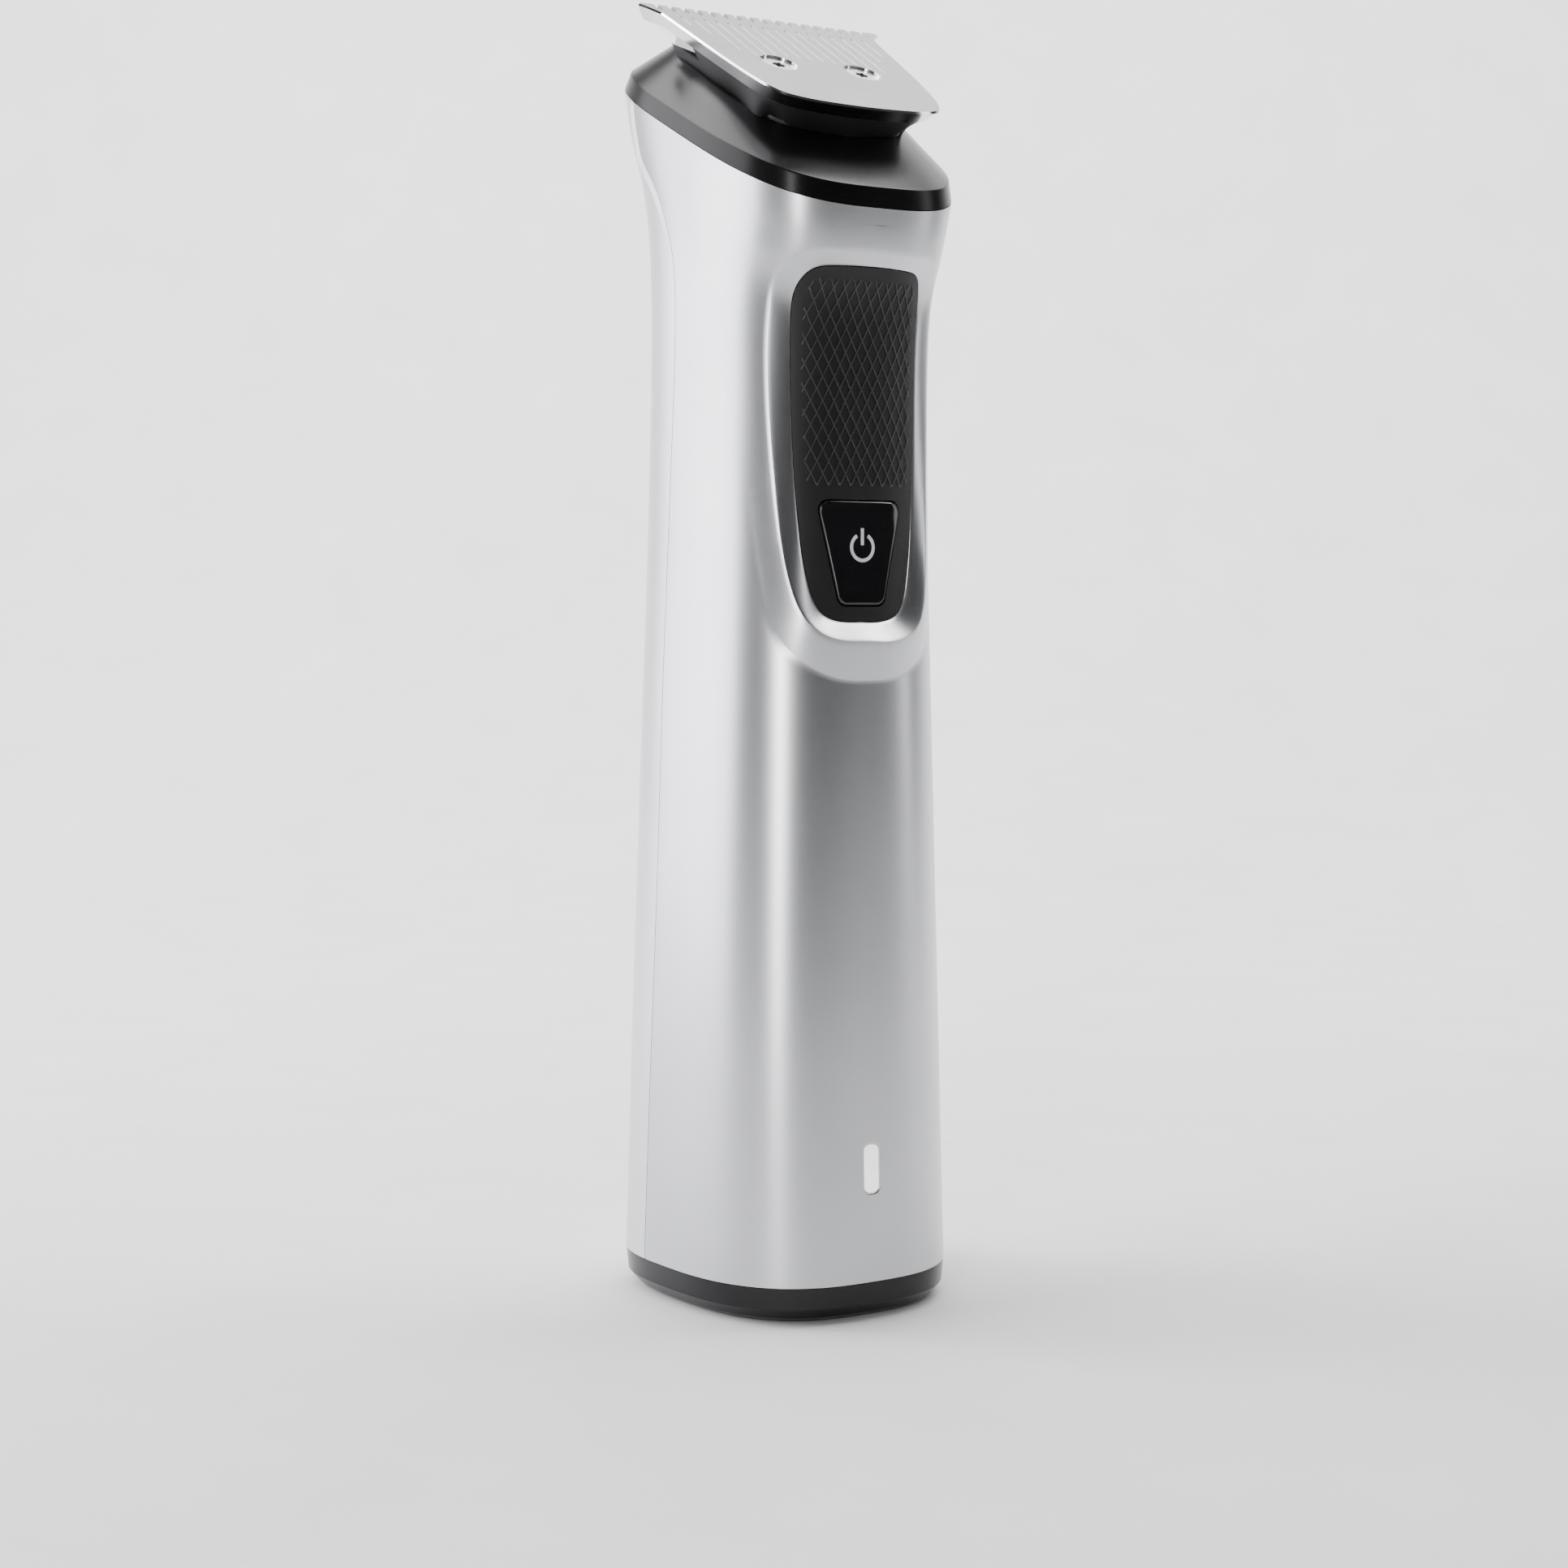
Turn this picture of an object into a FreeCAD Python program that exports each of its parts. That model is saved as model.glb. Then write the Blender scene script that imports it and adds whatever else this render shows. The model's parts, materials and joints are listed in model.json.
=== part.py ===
import FreeCAD, Part
import math
import os

os.makedirs("parts", exist_ok=True)
doc = FreeCAD.newDocument("trimmer")
vec = FreeCAD.Vector

# ---------------------------------------------------------------- dimensions
sheet = doc.addObject("Spreadsheet::Sheet", "Dims")

SIZES = {
    # handle
    "wall": 1.1,
    "panel_wall": 2.2,
    "shell_base": 4.6,
    "seam_gap": 0.08,
    "part_gap": 0.08,
    # superellipse exponents and front narrowing of the handle section
    "front_power": 2.72,
    "back_power": 2.86,
    "narrowing": 0.109,
    # collar ring and mouth
    "collar_lean": 27.25,
    "collar_band": 2.3,
    "head_lean": 30.6,
    "mouth_half": 9.7,
    "mouth_front": -10.3,
    "mouth_back": 12.0,
    "mouth_depth": 5.6,
    "cup_floor": 1.5,
    # head datum: centre of the plate's top face
    "head_back": -5.32,
    "head_level": 150.43,
    "plate_thick": 1.8,
    "tooth_pitch": 1.84,
    "tooth_slot": 0.74,
    "tooth_root": 13.2,
    "tooth_tip": 15.2,
    "engrave_wide": 0.16,
    "engrave_deep": 0.1,
    "screw_half": 5.85,
    "screw_back": -1.6,
    "screw_head": 2.3,
    "screw_shank": 1.1,
    "blade_gap": 0.06,
    "blade_thick": 1.0,
    "frame_low": 4.9,
    "neck_depth": 5.0,
    # drive
    "motor_y": 2.0,
    "motor_base": 101.0,
    "motor_top": 129.0,
    "motor_radius": 10.0,
    "shaft_radius": 1.0,
    "hub_radius": 3.1,
    "pin_radius": 0.8,
    "pin_throw": 0.9,
    # battery and board
    "cell_radius": 9.15,
    "cell_length": 65.0,
    "cell_base": 13.6,
    "cell_y": 2.4,
    "board_half": 10.0,
    "board_front": -11.6,
    "board_thick": 1.2,
    "board_base": 10.0,
    "board_top": 98.0,
    # power button and light
    "button_level": 91.5,
    "button_travel": 0.6,
    "light_level": 18.2,
    "light_wide": 2.1,
    "light_tall": 5.8,
    # charging socket
    "socket_y": 7.0,
    "socket_wide": 9.0,
    "socket_deep": 6.4,
    "socket_tall": 9.6,
    "socket_pin": 0.6,
}

# handle sections: level at the centre line, lean, front, back, half width
SECTIONS = [
    (4.6, 0.0, -18.90, 18.90, 18.05),
    (20.0, 0.0, -18.35, 18.25, 17.70),
    (35.0, 0.0, -17.95, 17.75, 17.35),
    (50.0, 0.0, -17.60, 17.25, 16.90),
    (65.0, 0.0, -17.30, 16.80, 16.45),
    (80.0, 0.0, -17.00, 16.30, 15.95),
    (95.0, 0.0, -16.75, 15.80, 15.50),
    (104.0, 2.0, -16.65, 15.40, 15.35),
    (112.0, 5.0, -16.60, 15.00, 15.25),
    (119.0, 10.0, -16.75, 14.75, 15.25),
    (125.0, 16.0, -17.20, 14.75, 15.35),
    (129.5, 21.0, -17.95, 15.20, 15.60),
    (133.0, 24.5, -18.75, 16.40, 15.90),
    (135.8, 26.3, -19.35, 17.90, 16.15),
    (138.5, 27.0, -19.90, 18.60, 16.35),
    (141.7, 27.25, -20.45, 18.95, 16.55),
]
SECTION_WORDS = ("level", "lean", "front", "back", "half")
for index, row in enumerate(SECTIONS):
    for word, number in zip(SECTION_WORDS, row):
        SIZES["%s_%d" % (word, index)] = number

for line, (alias, number) in enumerate(SIZES.items(), start=1):
    sheet.set("A%d" % line, alias)
    sheet.set("B%d" % line, str(number))
    sheet.setAlias("B%d" % line, alias)
doc.recompute()


def dim(alias):
    return float(sheet.get(alias))


# ---------------------------------------------------------------- helpers
def bind(item, prop, value):
    """Give a property a number, or bind it to a spreadsheet expression."""
    if isinstance(value, str):
        item.setExpression(prop, value)
    else:
        target = item
        *path, last = prop.split(".")
        if path:
            raise ValueError("numbers go to plain properties")
        setattr(target, last, value)


def put(item, x, y, z, axis=None, angle=0.0):
    turn = FreeCAD.Rotation(vec(*axis), angle) if axis else FreeCAD.Rotation()
    item.Placement = FreeCAD.Placement(vec(x, y, z), turn)
    return item


def box(name, length, width, height, x, y, z):
    """A box centred on x and y that starts at z."""
    item = doc.addObject("Part::Box", name)
    bind(item, "Length", length)
    bind(item, "Width", width)
    bind(item, "Height", height)
    doc.recompute()
    return put(item, x - item.Length.Value / 2, y - item.Width.Value / 2, z)


def rod(name, radius, height, x, y, z, axis=None, angle=0.0):
    item = doc.addObject("Part::Cylinder", name)
    bind(item, "Radius", radius)
    bind(item, "Height", height)
    return put(item, x, y, z, axis, angle)


def cone(name, low, high, height, x, y, z):
    item = doc.addObject("Part::Cone", name)
    bind(item, "Radius1", low)
    bind(item, "Radius2", high)
    bind(item, "Height", height)
    return put(item, x, y, z)


def join(name, *items):
    item = doc.addObject("Part::MultiFuse", name)
    item.Shapes = list(items)
    return item


def cut(name, base, *tools):
    tool = tools[0] if len(tools) == 1 else join(name + "_tools", *tools)
    item = doc.addObject("Part::Cut", name)
    item.Base = base
    item.Tool = tool
    return item


def feature(name, shape):
    item = doc.addObject("Part::Feature", name)
    item.Shape = shape
    return item


def new_body(label):
    body = doc.addObject("PartDesign::Body", label)
    body.Label = label
    return body


def plane_sketch(body, role, offset=0.0):
    sketch = body.newObject("Sketcher::SketchObject", body.Name + "_sketch")
    planes = [f for f in body.Origin.OriginFeatures if f.Role == role]
    sketch.AttachmentSupport = [(planes[0], "")]
    sketch.MapMode = "FlatFace"
    sketch.AttachmentOffset = FreeCAD.Placement(vec(0, 0, offset), FreeCAD.Rotation())
    return sketch


def draw_circle(sketch, x, y, radius):
    """A circle whose radius is a bound constraint."""
    import Sketcher
    edge = Part.Circle(vec(x, y, 0), vec(0, 0, 1), 1.0)
    number = sketch.addGeometry(edge, False)
    start = sketch.addConstraint(Sketcher.Constraint("Radius", number, 1.0))
    if isinstance(radius, str):
        sketch.setExpression("Constraints[%d]" % start, radius)
    else:
        sketch.setDatum(start, FreeCAD.Units.Quantity("%g mm" % radius))


def draw_polygon(sketch, points):
    import Sketcher
    count = len(points)
    first = sketch.GeometryCount
    for n in range(count):
        a, b = points[n], points[(n + 1) % count]
        sketch.addGeometry(Part.LineSegment(vec(a[0], a[1], 0), vec(b[0], b[1], 0)), False)
    for n in range(count):
        link = Sketcher.Constraint("Coincident", first + n, 2, first + (n + 1) % count, 1)
        sketch.addConstraint(link)


def draw_rectangle(sketch, x0, y0, x1, y1):
    draw_polygon(sketch, [(x0, y0), (x1, y0), (x1, y1), (x0, y1)])


def pad(body, sketch, length, reverse=False):
    item = body.newObject("PartDesign::Pad", body.Name + "_pad")
    item.Profile = sketch
    bind(item, "Length", length)
    item.Reversed = reverse
    sketch.Visibility = False
    doc.recompute()
    body.Tip = item
    return item


def pocket(body, sketch, length, reverse=False):
    before = body.Shape.Volume
    item = body.newObject("PartDesign::Pocket", body.Name + "_pocket")
    item.Profile = sketch
    bind(item, "Length", length)
    item.Reversed = reverse
    doc.recompute()
    body.Tip = item
    if body.Shape.Volume > before - 1e-6:
        raise RuntimeError("pocket removed nothing in " + body.Name)
    return item


def pattern(body, source, sketch, length, count):
    """Repeat a feature along the sketch's horizontal axis."""
    item = body.newObject("PartDesign::LinearPattern", body.Name + "_row")
    item.Originals = [source]
    item.Direction = (sketch, ["H_Axis"])
    bind(item, "Length", length)
    item.Occurrences = count
    doc.recompute()
    body.Tip = item
    return item


def polygon_face(points):
    return Part.Face(Part.makePolygon([vec(*p) for p in points] + [vec(*points[0])]))


def rounded_wire(points, radius):
    """A closed flat polygon with every corner rounded, as one wire."""
    edges = []
    count = len(points)
    trimmed = []
    for n in range(count):
        here = vec(*points[n])
        back = vec(*points[n - 1]) - here
        ahead = vec(*points[(n + 1) % count]) - here
        half = back.getAngle(ahead) / 2
        reach = min(radius / math.tan(half), 0.48 * min(back.Length, ahead.Length))
        size = reach * math.tan(half)
        back.normalize()
        ahead.normalize()
        middle = (back + ahead).normalize()
        centre = here + middle * (size / math.sin(half))
        trimmed.append((here + back * reach, centre - middle * size, here + ahead * reach))
    for n in range(count):
        start, bend, end = trimmed[n]
        edges.append(Part.Arc(start, bend, end).toShape())
        following = trimmed[(n + 1) % count][0]
        if (following - end).Length > 1e-6:
            edges.append(Part.LineSegment(end, following).toShape())
    return Part.Wire(edges)


def smooth_wire(points):
    curve = Part.BSplineCurve()
    curve.interpolate([vec(*p) for p in points], PeriodicFlag=True)
    return Part.Wire(curve.toShape())


def section_points(level, lean, front, back, half, power=None, narrow=None, count=56):
    """Superellipse section with a narrower front, on a plane leaning about X."""
    front_power, back_power = power or (dim("front_power"), dim("back_power"))
    narrow = dim("narrowing") if narrow is None else narrow
    slope = math.tan(math.radians(lean))
    middle = (front + back) / 2
    reach = (back - front) / 2
    points = []
    for n in range(count):
        turn = 2 * math.pi * (n + 0.5) / count
        c, s = math.cos(turn), math.sin(turn)
        p = 2 / (front_power if s < 0 else back_power)
        across = math.copysign(abs(c) ** p, c)
        along = math.copysign(abs(s) ** p, s)
        y = middle + reach * along
        points.append((half * across * (1 + narrow * along), y, level + y * slope))
    return points


def handle_rings(inset, low=None, high=None):
    rings = []
    last = len(SECTIONS) - 1
    for n in range(last + 1):
        level, lean, front, back, half = [dim("%s_%d" % (w, n)) for w in SECTION_WORDS]
        if n == 0 and low is not None:
            level = low
        if n == last and high is not None:
            level = high
        mix = n / last
        power = (dim("front_power") + 0.45 * mix ** 3, dim("back_power") + 0.64 * mix ** 3)
        ring = section_points(level, lean, front + inset, back - inset, half - inset, power)
        rings.append(smooth_wire(ring))
    return rings


made_solids = {}


def handle_solid(inset, low=None, high=None):
    """The handle's outer form moved inwards by inset, as a solid."""
    key = (round(inset, 4), low, high)
    if key not in made_solids:
        made_solids[key] = Part.makeLoft(handle_rings(inset, low, high), True, False)
    return made_solids[key].copy()


def collar_ring(level, lean, front, back, half, power=(3.17, 3.5), narrow=0.11):
    return smooth_wire(section_points(level, lean, front, back, half, power, narrow))


def finish(item, label, placement=None):
    item.Label = label
    if placement is not None:
        item.Placement = placement
    nodes.append((label, item))
    return item


nodes = []
HEAD = FreeCAD.Placement(
    vec(0, dim("head_back"), dim("head_level")),
    FreeCAD.Rotation(vec(1, 0, 0), dim("head_lean")),
)
gap = dim("part_gap")
wall = dim("wall")

# ---------------------------------------------------------------- handle shells
outer = handle_solid(0.0)
inner = handle_solid(wall, low=dim("shell_base") - 1.5, high=dim("level_15") + 2.0)

PANEL_HALF = [(83.4, 3.2), (84.4, 5.4), (86.0, 6.6), (88.0, 7.3), (91.0, 7.9), (95.0, 8.35),
              (100.0, 8.75), (106.0, 9.0), (113.0, 9.2), (119.0, 9.3), (122.2, 9.0), (123.8, 7.9),
              (124.3, 5.6)]


def panel_outline(grow, depth):
    """Closed outline of the front panel, widened by grow, on the plane y = depth."""
    right = []
    centre = 103.0
    for z, x in PANEL_HALF:
        reach = math.hypot(x, (z - centre) * 0.5)
        away_x = x / reach
        away_z = (z - centre) * 0.5 / reach
        right.append((x + grow * away_x, depth, z + grow * away_z))
    left = [(-x, y, z) for x, y, z in reversed(right)]
    return smooth_wire(right + left)


def panel_prism(grow):
    face = Part.Face(panel_outline(grow, -26.0))
    return face.extrude(vec(0, 15.5, 0))


opened = outer.cut(panel_prism(0.0))


def rim_edges(shape):
    """Edges where the panel opening breaks through the handle's outer face."""
    found = []
    for edge in shape.Edges:
        span = edge.LastParameter - edge.FirstParameter
        spots = [edge.valueAt(edge.FirstParameter + f * span) for f in (0.1, 0.5, 0.9)]
        if all(p.y < -12.0 and abs(p.x) < 9.8 and 82 < p.z < 125.5 for p in spots):
            found.append(edge)
    return found


bevelled = opened.makeChamfer(2.1, 0.9, rim_edges(opened))

# the cavity stands back behind the panel so that the wall is thicker there
thick_zone = panel_prism(2.6).cut(handle_solid(dim("panel_wall")))
cavity = inner.cut(thick_zone)
skin = bevelled.cut(cavity)

SEAM = [(4.9, 0.0), (4.9, 4.6), (4.5, 20.0), (3.9, 38.0), (3.5, 60.0), (3.2, 85.0), (2.4, 104.0),
        (1.7, 117.0), (1.6, 124.0), (2.2, 129.0), (3.2, 132.0), (4.5, 134.8), (6.3, 137.3)]
SEAM_TOP = [(8.3, 139.6), (9.2, 144.0), (9.9, 156.0)]


def seam_prism(shift):
    """Everything in front of the seam between the two shells."""
    curve = Part.BSplineCurve()
    curve.interpolate([vec(0, y + shift, z) for y, z in SEAM + SEAM_TOP[:1]])
    upper = [vec(0, y + shift, z) for y, z in SEAM_TOP]
    path = upper + [vec(0, -40, 156), vec(0, -40, 0), vec(0, SEAM[0][0] + shift, 0)]
    wire = Part.Wire([curve.toShape()] + Part.makePolygon(path).Edges)
    face = Part.Face(wire)
    face.translate(vec(-30, 0, 0))
    return face.extrude(vec(60, 0, 0))


light_slot = rounded_wire([
    (-dim("light_wide") / 2, -30, dim("light_level") - dim("light_tall") / 2),
    (dim("light_wide") / 2, -30, dim("light_level") - dim("light_tall") / 2),
    (dim("light_wide") / 2, -30, dim("light_level") + dim("light_tall") / 2),
    (-dim("light_wide") / 2, -30, dim("light_level") + dim("light_tall") / 2),
], 0.8)
light_prism = Part.Face(light_slot).extrude(vec(0, 17, 0))
front_shape = skin.common(seam_prism(0.0)).cut(light_prism)
rear_shape = skin.cut(seam_prism(dim("seam_gap")))
finish(feature("front_shell_part", front_shape), "front_shell")
finish(feature("rear_shell_part", rear_shape), "rear_shell")

# ---------------------------------------------------------------- light window
skin_cut = handle_solid(gap)
window_wire = light_slot.makeOffset2D(-0.06)
window = Part.Face(window_wire).extrude(vec(0, 13.5, 0)).common(skin_cut).cut(handle_solid(wall + 1.0))
finish(feature("led_window_part", window), "led_window")

# ---------------------------------------------------------------- front panel
PANEL_DEPTH = 0.95
panel_zone = Part.Face(panel_outline(-gap, -26.0)).extrude(vec(0, 15.5, 0))
plate = panel_zone.common(handle_solid(PANEL_DEPTH)).cut(handle_solid(PANEL_DEPTH + 1.35))
flange_zone = panel_prism(1.0)
flange = flange_zone.common(handle_solid(dim("panel_wall") + 0.05)).cut(handle_solid(dim("panel_wall") + 0.85))
plate = plate.fuse(flange)


def button_outline(grow, y=-26.0):
    z = dim("button_level")
    low, high = z - 6.3 - grow, z + 6.3 + grow
    return rounded_wire([(-3.3 - grow, y, low), (3.3 + grow, y, low),
                         (6.3 + grow, y, high), (-6.3 - grow, y, high)], 1.3 + max(grow, 0))


plate = plate.cut(Part.Face(button_outline(0.0)).extrude(vec(0, 16, 0)))
finish(feature("grip_panel_part", plate), "grip_panel")

# ---------------------------------------------------------------- power button
button_zone = Part.Face(button_outline(-0.12)).extrude(vec(0, 12.0, 0))
cap = button_zone.common(handle_solid(0.78))
cap = cap.cut(Part.makeBox(40, 20, 40, vec(-20, -13.9, dim("button_level") - 20)))
stem = Part.makeCylinder(1.6, 0.18, vec(0, -13.95, dim("button_level")), vec(0, 1, 0))
icon_level = dim("button_level") + 0.7
ICON_RADIUS, ICON_LINE, ICON_REACH = 1.75, 0.42, 1.4
ring = Part.makeCylinder(ICON_RADIUS, ICON_REACH, vec(0, -16.8, icon_level), vec(0, 1, 0))
ring = ring.cut(Part.makeCylinder(ICON_RADIUS - ICON_LINE, ICON_REACH, vec(0, -16.8, icon_level), vec(0, 1, 0)))
ring = ring.cut(Part.makeBox(1.5, ICON_REACH, 3, vec(-0.75, -16.8, icon_level)))
bar = Part.makeBox(ICON_LINE, ICON_REACH, 2.0, vec(-ICON_LINE / 2, -16.8, icon_level + 0.25))
inlay = ring.fuse(bar).common(handle_solid(0.78).cut(handle_solid(0.9)))
cap = cap.fuse(stem).cut(inlay)
finish(feature("power_button_part", cap), "power_button")
finish(feature("power_icon_part", inlay), "power_icon")

# ---------------------------------------------------------------- base cap
CAP_RING = [dim("%s_0" % w) for w in SECTION_WORDS]


def cap_ring(level, inset):
    power = (dim("front_power"), dim("back_power"))
    return smooth_wire(section_points(level, 0, CAP_RING[2] + inset, CAP_RING[3] - inset,
                                      CAP_RING[4] - inset, power))


band = Part.makeLoft([cap_ring(1.9, 0.25), cap_ring(dim("shell_base") - gap, 0.03)], True, True)
bottom = Part.makeLoft([cap_ring(0.0, 2.4), cap_ring(0.7, 1.2), cap_ring(1.9, 0.25)], True, True)
plug = Part.makeLoft([cap_ring(1.5, wall + 0.25), cap_ring(8.0, wall + 0.4)], True, True)
hollow = Part.makeLoft([cap_ring(1.6, wall + 2.2), cap_ring(8.5, wall + 1.6)], True, True)
cap_solid = band.fuse([bottom, plug]).cut(hollow)
groove_ring = Part.makeLoft([cap_ring(5.2, wall - 0.4), cap_ring(6.4, wall - 0.4)], True, True)
groove_core = Part.makeLoft([cap_ring(5.0, wall + 0.95), cap_ring(6.6, wall + 0.95)], True, True)
cap_solid = cap_solid.cut(groove_ring.cut(groove_core))
socket_hole = Part.Face(rounded_wire([
    (-dim("socket_wide") / 2, dim("socket_y") - dim("socket_deep") / 2, -1),
    (dim("socket_wide") / 2, dim("socket_y") - dim("socket_deep") / 2, -1),
    (dim("socket_wide") / 2, dim("socket_y") + dim("socket_deep") / 2, -1),
    (-dim("socket_wide") / 2, dim("socket_y") + dim("socket_deep") / 2, -1)], 1.2)).extrude(vec(0, 0, 8))
cap_solid = cap_solid.cut(socket_hole)
finish(feature("base_cap_part", cap_solid), "base_cap")
seal_out = Part.makeLoft([cap_ring(5.3, wall + 0.24), cap_ring(6.3, wall + 0.27)], True, True)
seal_in = Part.makeLoft([cap_ring(5.2, wall + 0.9), cap_ring(6.4, wall + 0.9)], True, True)
finish(feature("base_seal_part", seal_out.cut(seal_in)), "base_seal")

# ---------------------------------------------------------------- charging socket
body = new_body("socket_body")
sketch = plane_sketch(body, "XY_Plane", 0.25)
half_w, half_d = dim("socket_wide") / 2 - 0.1, dim("socket_deep") / 2 - 0.1
CORNER = 0.8
draw_polygon(sketch, [(-half_w + CORNER, -half_d), (half_w - CORNER, -half_d), (half_w, -half_d + CORNER),
                      (half_w, half_d - CORNER), (half_w - CORNER, half_d), (-half_w + CORNER, half_d),
                      (-half_w, half_d - CORNER), (-half_w, -half_d + CORNER)])
pad(body, sketch, "Dims.socket_tall - 0.25")
sketch = plane_sketch(body, "XY_Plane", 1.7)
draw_rectangle(sketch, -half_w - 1.2, -half_d - 1.2, half_w + 1.2, half_d + 1.2)
pad(body, sketch, 1.2)
sketch = plane_sketch(body, "XY_Plane", 0.25)
draw_rectangle(sketch, -half_w + 0.9, -half_d + 0.9, half_w - 0.9, half_d - 0.9)
pocket(body, sketch, 8.0, True)
sketch = plane_sketch(body, "XY_Plane", 7.0)
for x in (-1.7, 1.7):
    draw_circle(sketch, x, 0, "Dims.socket_pin + 0.02")
pocket(body, sketch, 4.0, True)
finish(body, "charging_socket", FreeCAD.Placement(vec(0, dim("socket_y"), 0), FreeCAD.Rotation()))
pins = [rod("socket_pin_%s" % tag, "Dims.socket_pin", 6.2, x, dim("socket_y"), 4.6)
        for tag, x in (("a", -1.7), ("b", 1.7))]
finish(join("socket_pins", *pins), "charging_pins")

# ---------------------------------------------------------------- collar
COLLAR_LOW = (dim("level_15") + 0.1, dim("collar_lean"), -20.42, 18.92, 16.52)
COLLAR_RIDGE = (dim("level_15") + dim("collar_band"), dim("collar_lean"), -20.15, 17.9, 16.15)
COLLAR_TOP = (146.95, dim("head_lean"), -12.9, 13.4, 11.8)


def shrink(ring, inset, lower=0.0):
    level, lean, front, back, half = ring
    return (level - lower, lean, front + inset, back - inset, half - inset)


def collar_loft(rings, powers):
    return Part.makeLoft([collar_ring(*r, power=p, narrow=k) for r, (p, k) in zip(rings, powers)],
                         True, True)


WIDE = ((3.17, 3.5), 0.11)
TIGHT = ((3.2, 3.4), 0.06)
collar_out = collar_loft([COLLAR_LOW, COLLAR_RIDGE, COLLAR_TOP], [WIDE, WIDE, TIGHT])
SPIGOT_INSET, SPIGOT_DEPTH = wall + 1.05, 2.6
spigot = collar_loft([shrink(COLLAR_LOW, SPIGOT_INSET, SPIGOT_DEPTH), shrink(COLLAR_LOW, SPIGOT_INSET, -0.4)],
                     [WIDE, WIDE])
collar_in = collar_loft([shrink(COLLAR_LOW, SPIGOT_INSET + 1.0, 3.2), shrink(COLLAR_RIDGE, wall + 1.6, 0.4),
                         shrink(COLLAR_TOP, 0.9, 1.6)], [WIDE, WIDE, TIGHT])


def head_block(x0, y0, x1, y1, radius, z0, z1):
    """Rounded block given in the head's own axes."""
    wire = rounded_wire([(x0, y0, z0), (x1, y0, z0), (x1, y1, z0), (x0, y1, z0)], radius)
    block = Part.Face(wire).extrude(vec(0, 0, z1 - z0))
    block.Placement = HEAD.multiply(block.Placement)
    return block


cup_top = -5.55
cup_low = cup_top - dim("mouth_depth")
half = dim("mouth_half")
mouth_front, mouth_back = dim("mouth_front"), dim("mouth_back")
cup_out = head_block(-half - 1.2, mouth_front - 1.2, half + 1.2, mouth_back + 1.2, 4.4,
                     cup_low - dim("cup_floor"), cup_top)
cup_out = cup_out.cut(collar_loft([shrink(COLLAR_TOP, -9, -0.01), shrink(COLLAR_TOP, -9, -8)],
                                  [TIGHT, TIGHT]))
mouth = head_block(-half, mouth_front, half, mouth_back, 3.4, cup_low, cup_top + 6)
collar_solid = collar_out.fuse(spigot).cut(collar_in).fuse(cup_out).cut(mouth)
drive_hole = Part.makeCylinder(3.1, 30, vec(0, dim("motor_y"), 125))
clip_slots = [head_block(x - 0.55, -3.2, x + 0.55, 3.2, 0.2, cup_low + 1.4, cup_low + 4.2)
              for x in (-half - 0.2, half + 0.2)]
collar_solid = collar_solid.cut([drive_hole] + clip_slots)
finish(feature("collar_part", collar_solid), "collar")
clips = [head_block(x - 0.2, -3.0, x + 0.2, 3.0, 0.15, cup_low + 1.5, cup_low + 4.1)
         for x in (-half - 0.45, half + 0.45)]
finish(feature("clip_part", Part.makeCompound(clips)), "head_clip")

# ---------------------------------------------------------------- rubber seal round the drive
seal = rod("seal_ring", 3.02, 2.6, 0, dim("motor_y"), 138.2)
seal_hole = rod("seal_hole", "Dims.pin_throw + Dims.pin_radius + 0.3", 4.0, 0, dim("motor_y"), 137.5)
finish(cut("seal_part", seal, seal_hole), "shaft_seal")

# ---------------------------------------------------------------- fixed comb plate
PLATE_HALF = [(-14.4, 0.0), (-14.2, 4.5), (-13.5, 8.6), (-12.3, 10.9), (-10.6, 11.9), (-7.5, 12.75),
              (-3.0, 13.55), (2.5, 14.25), (8.0, 14.85)]
LOBE = [(12.2, 15.35), (13.6, 16.3), (14.7, 17.3)]


def plate_wire(inset, z, lobe=True):
    right = [(x - inset if x > 2 else x, y + inset * (1 if y < -10 else 0), z) for y, x in PLATE_HALF]
    side = right[1:]
    left = [(-x, y, z) for x, y, z in reversed(side)]
    curve = Part.BSplineCurve()
    curve.interpolate([vec(*p) for p in left + [right[0]] + side])
    end_x, end_y = side[-1][0], side[-1][1]
    tips = [vec(end_x, end_y, z)]
    for y, x in LOBE:
        tips.append(vec(x - inset, y - 0.2 * inset, z))
    root, tip = dim("tooth_root"), dim("tooth_tip")
    tips.append(vec(17.0 - inset, tip - inset * 0.3, z))
    tips.append(vec(-17.0 + inset, tip - inset * 0.3, z))
    for y, x in reversed(LOBE):
        tips.append(vec(-x + inset, y - 0.2 * inset, z))
    tips.append(vec(-end_x, end_y, z))
    return Part.Wire([curve.toShape()] + Part.makePolygon(tips).Edges)


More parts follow.
